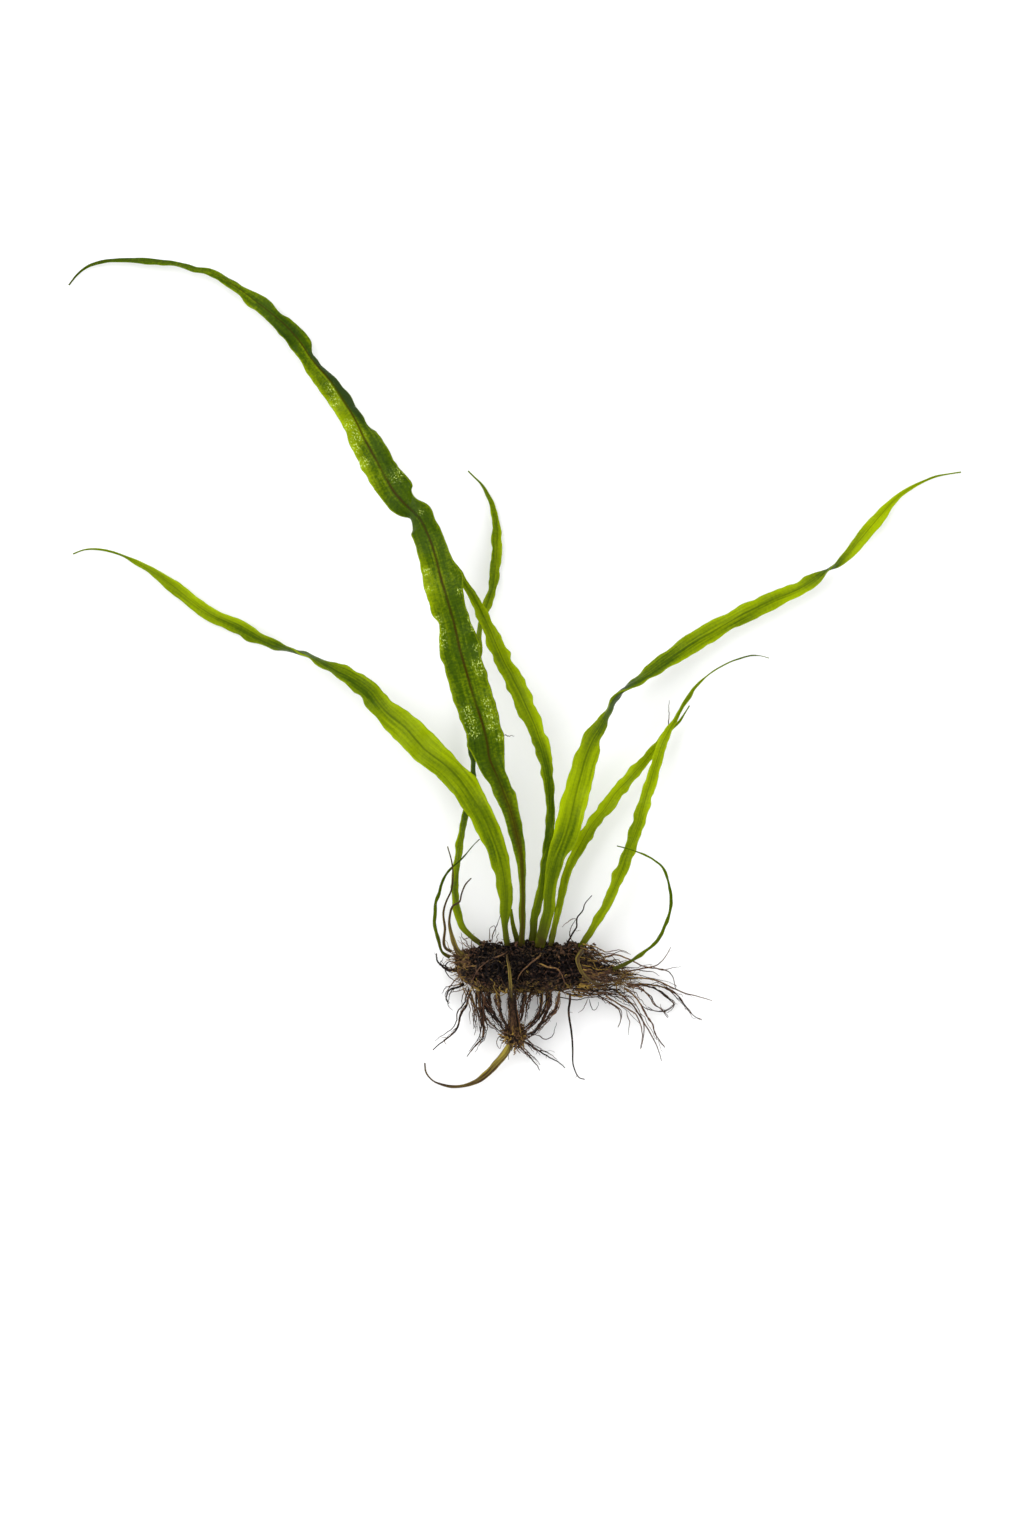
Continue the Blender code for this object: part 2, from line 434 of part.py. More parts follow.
def build_stalks(collection, felt):
    """Stalks without a blade: two old brown ones, two young leaves and the rhizome's green shoot."""
    stalks = (
        ("stem_brown_outer", STEM_BROWN_OUTER, 2.6, "leaf_old"),
        ("stem_brown_inner", STEM_BROWN_INNER, 2.4, "leaf_old"),
        ("leaf_bud_left", LEAF_BUD_LEFT, 2.0, "leaf_bright"),
        ("leaf_bud_right", LEAF_BUD_RIGHT, 2.0, "leaf_bright"),
        ("rhizome_branch", RHIZOME_BRANCH, 1.6, "leaf_bright"),
    )
    for name, rows, step, kind in stalks:
        node = loft(name, leaf_rings(rows, SLIM_SECTION, step), collection)
        grow_from(node, [felt])
        finish(node, kind)


def build_plantlet(collection, felt, knot_space):
    """The daughter plant: its stem over the felt, its knot of roots and its curled leaf."""
    stem = loft("plantlet_stem", leaf_rings(PLANTLET_STEM, SLIM_SECTION, 2.2), collection)
    grow_from(stem, [felt, knot_space])
    finish(stem, "leaf_old")
    leaf = loft("plantlet_leaf", leaf_rings(PLANTLET_LEAF, SLIM_SECTION, 2.4), collection)
    grow_from(leaf, [knot_space])
    finish(leaf, "leaf_old")
    knot = loft("plantlet_knot", knot_rings(0.0), collection)
    finish(knot, "root_brown")


def build_plant():
    """Build every node of the plant."""
    clear_scene()
    plant = make_collection(OBJECT_NAME)
    tools = make_collection(OBJECT_NAME + "_cutters")
    rhizome = loft("rhizome", rhizome_rings(0.0), plant)
    finish(rhizome, "root_dark")
    felt = cutter("felt_space", rhizome_rings(GAP), tools)
    knot_space = cutter("knot_space", knot_rings(GAP), tools)

    build_leaves(plant, felt)
    build_stalks(plant, felt)
    build_plantlet(plant, felt, knot_space)
    trees = (search_tree(rhizome_rings(0.0)), search_tree(knot_rings(0.0)))
    for name, (radius, rows) in ROOTS.items():
        finish(root(name, radius, rows, trees, plant), "root_brown")


build_plant()
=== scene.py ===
"""The looks of a bare-root java fern that lies on a pale surface.

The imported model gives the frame: metres, +Z up, the surface at z = 0 and the origin under the rhizome. The
camera looks straight down, with +Y up in the picture. Lengths in this script are millimetres until a mesh is
made. Leaves and roots are surfaces worked out as whole arrays, and each stands in for the solid of its form.
"""
import logging
from dataclasses import dataclass
from enum import Enum
from typing import Any, Sequence

import bpy
import numpy as np
from numpy.typing import NDArray
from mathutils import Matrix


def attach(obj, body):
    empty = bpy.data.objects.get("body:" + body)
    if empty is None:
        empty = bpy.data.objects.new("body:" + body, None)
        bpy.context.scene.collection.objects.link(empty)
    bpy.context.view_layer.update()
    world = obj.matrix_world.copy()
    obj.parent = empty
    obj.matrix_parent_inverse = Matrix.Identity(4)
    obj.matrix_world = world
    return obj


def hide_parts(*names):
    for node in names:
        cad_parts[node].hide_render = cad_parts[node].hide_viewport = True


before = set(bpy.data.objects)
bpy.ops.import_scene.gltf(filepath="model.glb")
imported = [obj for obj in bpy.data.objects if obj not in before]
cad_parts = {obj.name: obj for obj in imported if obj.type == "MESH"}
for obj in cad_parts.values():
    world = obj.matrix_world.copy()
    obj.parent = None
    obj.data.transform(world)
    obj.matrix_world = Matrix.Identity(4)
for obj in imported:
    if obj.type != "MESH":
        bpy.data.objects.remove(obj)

Array = NDArray[np.float64]
Faces = NDArray[np.int64]
Triple = tuple[float, float, float]
Colour = Triple
Span = tuple[float, float]
Row = tuple[float, ...]
Socket = bpy.types.NodeSocket
Material = bpy.types.Material

MM = 0.001
BODY = "root"
LOG = logging.getLogger("java_fern")


class Slot(Enum):
    """The record's material slots."""

    LEAF_DARK = "leaf_dark"
    LEAF_BRIGHT = "leaf_bright"
    LEAF_OLD = "leaf_old"
    ROOT_DARK = "root_dark"
    ROOT_BROWN = "root_brown"


# Shapes as arrays


def smooth(station: Array, rows: Array, at: Array) -> Array:
    """Read a smooth curve between rows.

    Between two rows the value is a cubic that meets both of them with the slopes that the neighbouring rows
    give.

    Args:
        station: where each row stands along the curve.
        rows: one row of values for each station.
        at: the stations to read.

    Returns:
        The values at each asked station.
    """
    slope = np.gradient(rows, station, axis=0)
    i = np.clip(np.searchsorted(station, at, side="right") - 1, 0, len(station) - 2)
    span = (station[i + 1] - station[i])[:, None]
    t = (at - station[i])[:, None] / span
    start = (2 * t**3 - 3 * t**2 + 1) * rows[i] + (t**3 - 2 * t**2 + t) * span * slope[i]
    return start + (3 * t**2 - 2 * t**3) * rows[i + 1] + (t**3 - t**2) * span * slope[i + 1]


def straight(rows: Sequence[Row], at: Array) -> Array:
    """Values read straight between rows that start with their own place, in a last axis of their own."""
    table = np.array(rows, dtype=float)
    return np.stack([np.interp(at, table[:, 0], column) for column in table.T[1:]], axis=-1)


def follow(rows: Sequence[Row], step: float) -> tuple[Array, Array]:
    """Walk along rows at even steps.

    Args:
        rows: rows whose first three values are a point in millimetres.
        step: the length of a step in millimetres.

    Returns:
        The rows at each step, and the distance walked to each.
    """
    table = np.array(rows, dtype=float)
    chords = np.linalg.norm(np.diff(table[:, :3], axis=0), axis=1)
    station = np.concatenate(([0.0], np.cumsum(chords)))
    distance = np.linspace(0.0, station[-1], 1 + max(3, round(station[-1] / step)))
    return smooth(station, table, distance), distance


def eased(value: Array, start: float, end: float) -> Array:
    """A share that goes from 0 where the value is at the start to 1 at the end, eased at both."""
    share = np.clip((value - start) / (end - start), 0.0, 1.0)
    return share * share * (3.0 - 2.0 * share)


def unit(vectors: Array) -> Array:
    """The same directions at length one."""
    length = np.linalg.norm(vectors, axis=-1, keepdims=True)
    return vectors / np.maximum(length, 1e-9)


def travel(place: Array) -> tuple[Array, Array, Array]:
    """Directions along, sideways and up from a path.

    Sideways is level, to the left of the way of travel, and up completes the three.

    Args:
        place: points along one path, or along many paths in the last axis but one.

    Returns:
        The three unit directions at every point.
    """
    along = unit(np.gradient(place, axis=-2))
    side = unit(np.cross((0.0, 0.0, 1.0), along) + (0.0, 1e-6, 0.0))
    return along, side, np.cross(along, side)


def waves(distance: Array, lengths: Sequence[float], weights: Sequence[float], seed: int,
          count: int) -> Array:
    """Irregular waves: a weighted sum of sines of several lengths, each with its own random phase.

    Args:
        distance: where to read the waves, in millimetres.
        lengths: the wavelengths in millimetres.
        weights: how high each of them is.
        seed: the seed of the phases.
        count: how many different wave lines to make.

    Returns:
        One column of heights for each wave line.
    """
    phase = np.random.default_rng(seed).uniform(0, 2 * np.pi, (len(lengths), count))
    turn = 2 * np.pi * distance[:, None, None] / np.array(lengths)[None, :, None]
    return np.sum(np.array(weights)[None, :, None] * np.sin(turn + phase[None]), axis=1)


def ring_faces(tubes: int, rings: int, points: int) -> Faces:
    """Faces of closed tubes that are stored one after the other.

    Each pair of neighbouring rings is joined by quads, and each end is closed by a fan of quads, which needs
    an even number of points in a ring.

    Args:
        tubes: how many tubes there are.
        rings: the rings in each tube.
        points: the points in each ring.

    Returns:
        One row of four vertex numbers for each face.
    """
    ring, point = np.meshgrid(np.arange(rings - 1), np.arange(points), indexing="ij")
    after = (point + 1) % points
    sides = np.stack((ring * points + point, ring * points + after,
                      (ring + 1) * points + after, (ring + 1) * points + point), axis=-1).reshape(-1, 4)
    first = np.arange(1, points - 2, 2)
    fan = np.stack((np.zeros_like(first), first, first + 1, first + 2), axis=-1)
    whole = np.concatenate((sides, fan[:, ::-1], fan + (rings - 1) * points))
    offsets = np.arange(tubes) * rings * points
    return (whole[None] + offsets[:, None, None]).reshape(-1, 4)


def make_piece(name: str, points: Array, faces: Faces, material: Material,
               nodes: Sequence[str], layers: dict[str, Array], sheet: Array | None = None) -> None:
    """Put arrays into a mesh, dress it and tie it to the model.

    Args:
        name: the piece's name.
        points: the vertices in millimetres.
        faces: four vertex numbers for each face.
        material: its finish.
        nodes: the solids that it stands in for.
        layers: named values, one for each vertex.
        sheet: a flat position for each vertex, for patterns that follow the surface.
    """
    mesh = bpy.data.meshes.new(name)
    mesh.from_pydata(points.reshape(-1, 3) * MM, [], faces)
    mesh.shade_smooth()
    for label, values in layers.items():
        layer = mesh.attributes.new(label, "FLOAT", "POINT")
        layer.data.foreach_set("value", values.ravel().astype(np.float32))
    if sheet is not None:
        corners = sheet.reshape(-1, 2)[faces.ravel()]
        mesh.uv_layers.new(name="sheet").data.foreach_set("uv", corners.ravel().astype(np.float32))
    mesh.materials.append(material)
    piece = bpy.data.objects.new(name, mesh)
    bpy.context.scene.collection.objects.link(piece)
    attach(piece, BODY)
    if nodes:
        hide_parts(*nodes)
    LOG.info("%s: %d faces", name, len(faces))


# Finishes


class Graph:
    """Shorthand for wiring the nodes of one material or world."""

    def __init__(self, owner: Any) -> None:
        """Empty the owner's nodes.

        Args:
            owner: the material or world.
        """
        owner.use_nodes = True
        self.owner = owner
        self.tree = owner.node_tree
        self.tree.nodes.clear()

    def feed(self, socket: Socket, value: Any) -> None:
        """Link an input to an output, or set it.

        Args:
            socket: the input.
            value: an output, a number, a vector, or a colour of three parts.
        """
        if isinstance(value, Socket):
            self.tree.links.new(value, socket)
        elif socket.type == "RGBA":
            socket.default_value = (*value, 1.0)
        else:
            socket.default_value = value

    def add(self, kind: str, inputs: dict[str | int, Any], output: str | int, **settings: Any) -> Socket:
        """Add a node.

        Args:
            kind: the node's type.
            inputs: what feeds each of its inputs.
            output: which of its outputs to hand back.
            **settings: its plain properties.

        Returns:
            The output.
        """
        node = self.tree.nodes.new(kind)
        for key, value in settings.items():
            setattr(node, key, value)
        for key, value in inputs.items():
            self.feed(node.inputs[key], value)
        return node.outputs[output]

    def attribute(self, label: str) -> Socket:
        """A value stored on the mesh."""
        return self.add("ShaderNodeAttribute", {}, "Fac", attribute_name=label)

    def place(self) -> Socket:
        """The object's own coordinates, in metres."""
        return self.add("ShaderNodeTexCoord", {}, "Object")

    def sheet(self) -> Socket:
        """The flat position on the surface, in millimetres."""
        return self.add("ShaderNodeUVMap", {}, "UV", uv_map="sheet")

    def stretched(self, vector: Socket, scale: Triple) -> Socket:
        """A position stretched by its own amount each way."""
        return self.add("ShaderNodeMapping", {"Vector": vector, "Scale": scale}, "Vector")

    def noise(self, vector: Socket, scale: float, detail: float = 2.0) -> Socket:
        """Soft random values from 0 to 1."""
        return self.add("ShaderNodeTexNoise", {"Vector": vector, "Scale": scale, "Detail": detail}, "Fac")

    def step(self, value: Socket, low: float, high: float, start: float = 0.0, end: float = 1.0,
             ease: str = "SMOOTHSTEP") -> Socket:
        """A value eased from start to end as the input goes from low to high."""
        ends = {"Value": value, "From Min": low, "From Max": high, "To Min": start, "To Max": end}
        return self.add("ShaderNodeMapRange", ends, "Result", interpolation_type=ease)

    def ramp(self, value: Socket, low: float, high: float, start: float = 0.0, end: float = 1.0) -> Socket:
        """A value that goes evenly from start to end as the input goes from low to high."""
        return self.step(value, low, high, start, end, "LINEAR")

    def math(self, operation: str, first: Any, second: Any = 0.0) -> Socket:
        """Arithmetic on two values."""
        return self.add("ShaderNodeMath", {0: first, 1: second}, "Value", operation=operation)

    def gap(self, value: Socket, middle: float = 0.0) -> Socket:
        """How far a value is from a middle."""
        return self.math("ABSOLUTE", self.math("SUBTRACT", value, middle))

    def mix(self, amount: Any, first: Any, second: Any) -> Socket:
        """A colour between two. Sockets 0, 6 and 7 of the node are the amount and the two colours."""
        return self.add("ShaderNodeMix", {0: amount, 6: first, 7: second}, 2, data_type="RGBA")

    def bump(self, height: Socket, strength: float) -> Socket:
        """A normal disturbed by a height of a tenth of a millimetre at most."""
        return self.add("ShaderNodeBump", {"Height": height, "Strength": strength, "Distance": 0.1 * MM},
                        "Normal")

    def surface(self, shader: Socket, output: str = "ShaderNodeOutputMaterial") -> Any:
        """Send a shader to an output node and hand back the owner."""
        self.feed(self.tree.nodes.new(output).inputs["Surface"], shader)
        return self.owner


# Where most values of a noise lie, and a wider stretch of them
NOISE = (0.3, 0.7)
NOISE_WIDE = (0.28, 0.72)

# How often the noise of a leaf's patterns repeats in a millimetre, across the blade and along it
MOTTLE = (1.1, 1.7, 1.0)
BANDS = (0.75, 0.045, 1.0)
STREAKS = (2.6, 0.12, 1.0)
VEINS = (1.25, 0.035, 1.0)
RIB_BREAKS = (0.2, 0.12, 1.0)
# The last is the pattern of the flecks of painted highlight.
HIGHLIGHT_FLECKS = (2.5, 1.6, 1.0)


@dataclass(frozen=True)
class LeafFinish:
    """A thin blade that lets light through, with a double midrib, lengthwise veins and pale flecks of painted
    highlight.

    The tone stored on the leaf runs from below 0, the shade colour, over 0, the deep one, to 1, the bright
    one. Amounts are shares of a colour or steps of tone. Lengths are distances from the rhizome in
    millimetres, between which a colour fades out, and scales are repeats of a noise in a metre.
    """

    name: str
    rib: Colour
    rib_amount: float
    rib_core: float = 0.0
    rib_pair: float = 1.0
    rib_lift: float = 0.08
    middle_drop: float = 0.0
    rim_lift: float = 0.0
    # Painted light on both rims and painted shade on the right one.
    rim_light: float = 0.45
    rim_shade: float = 0.75
    vein_amount: float = 0.0
    # How much the tone rises under a painted highlight.
    highlight_lift: float = 0.26
    brown_length: float = 0.0
    stalk: Colour = (0.105, 0.128, 0.004)
    stalk_amount: float = 0.4
    stalk_length: Span = (10.0, 30.0)
    base: Colour = (0.045, 0.030, 0.008)
    foot_amount: float = 0.6
    foot_length: Span = (3.0, 11.0)
    stain_amount: float = 0.92
    stain_length: Span = (-0.5, 3.0)
    stain_stray: float = 2.0
    shade: Colour = (0.020, 0.047, 0.001)
    deep: Colour = (0.056, 0.104, 0.001)
    bright: Colour = (0.39, 0.50, 0.001)
    shade_tone: float = -0.4
    glow: Colour = (0.46, 0.60, 0.001)
    glow_amount: float = 0.32
    glow_tint: float = 0.35
    patch_amount: float = 0.10
    band_amount: float = 0.10
    streak_amount: float = 0.05
    mottle_amount: float = 0.05
    patch_scale: float = 75.0
    stain_scale: float = 420.0
    polish_scale: float = 260.0
    gloss: float = 0.05
    roughness: Span = (0.17, 0.37)
    # The colour and share of the flecks of painted highlight.
    highlight_fleck: Colour = (0.70, 0.86, 0.21)
    highlight_fleck_amount: float = 0.85
    relief: float = 0.45

    def build(self) -> Material:
        """Wire the finish.

        Soft patches, lengthwise bands and streaks, thin darker veins and a fine mottle are added to the
        leaf's stored tone, which holds painted light and shade besides the leaf's own colour, and is lower
        along the middle and higher at the rims. It then goes from the shade over the deep to the bright
        green.
        The midrib is a dark line between two more dark lines, which are partly its own colour and partly
        painted shadow beside its ridge, with a pale line on each side. Both rims are pale, a painted light,
        and the right one has a dark outline, a painted shade. The stalk has a colour of its own, turns brown
        towards its foot, and is stained where it leaves the rhizome. Where the leaf carries a painted
        highlight it is brighter and has small pale flecks in rows, painted highlights as well.

        Returns:
            The material.
        """
        g = Graph(bpy.data.materials.new(self.name))
        place, sheet = g.place(), g.sheet()
        edge, away, from_root, painted_highlight = (g.attribute(label) for label in ("edge", "rib", "from_root", "painted_highlight"))
        rim = g.gap(edge)

        mottle = g.noise(g.stretched(sheet, MOTTLE), 1.0)
        veins = g.gap(g.noise(g.stretched(sheet, VEINS), 1.0, 1.0), 0.5)
        tone = g.attribute("tone")
        for pattern, amount in ((g.noise(place, self.patch_scale, 1.0), self.patch_amount),
                                (g.noise(g.stretched(sheet, BANDS), 1.0, 1.0), self.band_amount),
                                (g.noise(g.stretched(sheet, STREAKS), 1.0), self.streak_amount),
                                (mottle, self.mottle_amount)):
            tone = g.math("ADD", tone, g.step(pattern, *NOISE_WIDE, -amount, amount))
        # Added to the tone: a lift under the painted highlights, darker veins, a pale line each side of the
        # midrib, a lower middle and higher rims.
        for added in (g.math("MULTIPLY", painted_highlight, self.highlight_lift),
                      g.step(veins, 0.04, 0.12, -self.vein_amount, 0.0),
                      g.step(g.gap(away, 2.2), 0.4, 1.2, self.rib_lift, 0.0),
                      g.step(away, 2.5, 8.5, -self.middle_drop, 0.0),
                      g.step(rim, 0.55, 0.95, 0.0, self.rim_lift)):
            tone = g.math("ADD", tone, added)
        colour = g.mix(g.ramp(tone, self.shade_tone, 0.0), self.shade, self.deep)
        colour = g.mix(g.ramp(tone, 0.0, 1.0), colour, self.bright)

        # The two side lines of the midrib are partly its own colour and partly painted shadow beside its
        # ridge.
        pair = g.step(g.gap(away, 1.0), 0.10, 0.42, self.rib_pair, 0.0)
        line = g.math("MAXIMUM", pair, g.step(away, 0.5, 0.85, self.rib_core, 0.0))
        faint = g.step(g.noise(g.stretched(sheet, RIB_BREAKS), 1.0), 0.25, 0.6, 0.45, 1.0)
        line = g.math("MULTIPLY", g.math("MULTIPLY", line, faint), self.rib_amount)
        colour = g.mix(line, colour, self.rib)
        # Both rims are lightened towards the bright green, a painted light, and the right rim is darkened
        # towards the shade green, a painted shade.
        colour = g.mix(g.step(rim, 0.88, 0.97, 0.0, self.rim_light), colour, self.bright)
        colour = g.mix(g.step(edge, -0.93, -0.99, 0.0, self.rim_shade), colour, self.shade)
        colour = g.mix(g.step(from_root, *self.stalk_length, self.stalk_amount, 0.0), colour, self.stalk)
        if self.brown_length:
            middle = g.step(rim, 0.25, 0.75, 0.75, 0.0)
            along = g.step(from_root, 0.45 * self.brown_length, self.brown_length, 1.0, 0.0)
            colour = g.mix(g.math("MULTIPLY", middle, along), colour, self.rib)
        colour = g.mix(g.step(from_root, *self.foot_length, self.foot_amount, 0.0), colour, self.base)
        stray = g.step(g.noise(place, self.stain_scale), *NOISE, -self.stain_stray, self.stain_stray)
        stain = g.step(g.math("ADD", from_root, stray), *self.stain_length, self.stain_amount, 0.0)
        colour = g.mix(stain, colour, self.base)

        # Painted highlights: small pale flecks in rows where the leaf carries a painted highlight, off the
        # midrib, with a little bump under them.
        highlight_dots = g.step(g.noise(g.stretched(sheet, HIGHLIGHT_FLECKS), 1.0), 0.54, 0.64)
        highlight_fleck = g.math("MULTIPLY", g.math("MULTIPLY", highlight_dots, g.step(painted_highlight, 0.05, 0.7)), g.step(away, 1.2, 1.9))
        colour = g.mix(g.math("MULTIPLY", highlight_fleck, self.highlight_fleck_amount), colour, self.highlight_fleck)
        normal = g.bump(g.math("ADD", mottle, g.math("MULTIPLY", highlight_fleck, 0.9)), self.relief)
        polish = g.step(g.noise(place, self.polish_scale), *NOISE, *self.roughness)
        face = g.add("ShaderNodeBsdfPrincipled", {"Base Color": colour, "Roughness": polish, "Normal": normal,
                                                  "Specular IOR Level": self.gloss}, "BSDF")
        through = g.add("ShaderNodeBsdfTranslucent", {"Color": g.mix(self.glow_tint, colour, self.glow),
                                                      "Normal": normal}, "BSDF")
        both = g.add("ShaderNodeMixShader", {"Fac": self.glow_amount, 1: face, 2: through}, "Shader")
        return g.surface(both)


class Blade(Enum):
    """The finishes of leaves and stalks."""

    TALL = LeafFinish(
        "tall_blade", rib=(0.045, 0.022, 0.001), rib_amount=0.95, rib_core=1.0, rib_pair=0.4, rib_lift=0.10,
        brown_length=62.0, patch_amount=0.14, band_amount=0.13, streak_amount=0.08, mottle_amount=0.14,
        middle_drop=0.05, rim_lift=0.10, rim_shade=0.6, vein_amount=0.05, stalk_amount=0.7)
    DARK = LeafFinish(
        "dark_blade", rib=(0.045, 0.060, 0.001), rib_amount=0.8, rib_core=1.0, rib_pair=0.4,
        patch_amount=0.12, band_amount=0.13, streak_amount=0.09, mottle_amount=0.10, middle_drop=0.10,
        rim_lift=0.18, rim_shade=0.45, vein_amount=0.08)
    BRIGHT = LeafFinish(
        "bright_blade", stalk=(0.130, 0.165, 0.003), base=(0.050, 0.036, 0.008), rib=(0.060, 0.095, 0.001),
        rib_amount=0.7, rib_core=1.0, rib_pair=0.3, rib_lift=0.12, band_amount=0.14, streak_amount=0.12,
        mottle_amount=0.08, middle_drop=0.14, rim_lift=0.22, rim_shade=0.25, vein_amount=0.15)
    OLD = LeafFinish(
        "old_blade", stalk=(0.16, 0.11, 0.012), base=(0.05, 0.03, 0.01), rib=(0.06, 0.03, 0.006),
        rib_amount=0.3, shade=(0.020, 0.012, 0.008), deep=(0.050, 0.026, 0.010), bright=(0.34, 0.27, 0.04),
        glow=(0.40, 0.30, 0.04), glow_amount=0.20, streak_amount=0.42, gloss=0.12,
        stalk_amount=0.0, foot_amount=0.0, roughness=(0.32, 0.52))


@dataclass(frozen=True)
class RootFinish:
    """Wiry roots, each with its own tone from near black over brown to yellow brown."""

    name: str
    dark: Colour
    middle: Colour
    pale: Colour
    red: Colour = (0.085, 0.036, 0.024)
    red_amount: float = 0.6
    red_scale: float = 160.0
    grain: float = 0.16
    grain_scale: float = 1100.0
    roughness: Span = (0.48, 0.75)
    polish_scale: float = 2200.0
    gloss: float = 0.08
    relief: float = 0.6

    def build(self) -> Material:
        """Wire the finish.

        A value stored on each root picks its colour on a ramp, and noise breaks it up along the root. In soft
        patches the brown turns reddish.

        Returns:
            The material.
        """
        g = Graph(bpy.data.materials.new(self.name))
        place = g.place()
        grain = g.noise(place, self.grain_scale, 3.0)
        tone = g.math("ADD", g.attribute("tone"), g.step(grain, *NOISE, -self.grain, self.grain))
        reddish = g.step(g.noise(place, self.red_scale), 0.45, 0.65, 0.0, self.red_amount)
        colour = g.mix(g.step(tone, 0.10, 0.50), self.dark, g.mix(reddish, self.middle, self.red))
        colour = g.mix(g.step(tone, 0.50, 1.0), colour, self.pale)
        polish = g.step(g.noise(place, self.polish_scale), *NOISE, *self.roughness)
        return g.surface(g.add("ShaderNodeBsdfPrincipled", {
            "Base Color": colour, "Roughness": polish, "Normal": g.bump(grain, self.relief),
            "Specular IOR Level": self.gloss}, "BSDF"))


@dataclass(frozen=True)
class FloorFinish:
    """A plain pale surface, a little darker in soft patches."""

    name: str = "pale_floor"
    colour: Colour = (0.93, 0.93, 0.93)
    patches: Colour = (0.91605, 0.91605, 0.91605)
    patch_scale: float = 3.0
    roughness: float = 0.6
    gloss: float = 0.2

    def build(self) -> Material:
        """Wire the finish.

        Returns:
            The material.
        """
        g = Graph(bpy.data.materials.new(self.name))
        tint = g.mix(g.noise(g.place(), self.patch_scale), self.colour, self.patches)
        return g.surface(g.add("ShaderNodeBsdfPrincipled", {
            "Base Color": tint, "Roughness": self.roughness, "Specular IOR Level": self.gloss}, "BSDF"))


# Leaves

# Lengths in millimetres and weights of a leaf's waves: lobes of its outline, finer ones and bands of painted
# highlight
LOBE_WAVES = ((9.0, 5.7, 3.9), (1.0, 0.9, 0.6))
CRINKLE_WAVES = ((6.3, 4.1, 2.7), (1.0, 0.7, 0.4))
HIGHLIGHT_WAVES = ((31.0, 17.0, 11.0), (1.0, 0.8, 0.6))
RUFFLE_WEIGHTS = (1.0, 0.8, 0.55, 0.3)


def sided(left: Array, pair: Array) -> Array:
    """The first column of a pair where a point is on the left half, and the second elsewhere."""
    return np.where(left, pair[:, :1], pair[:, 1:])


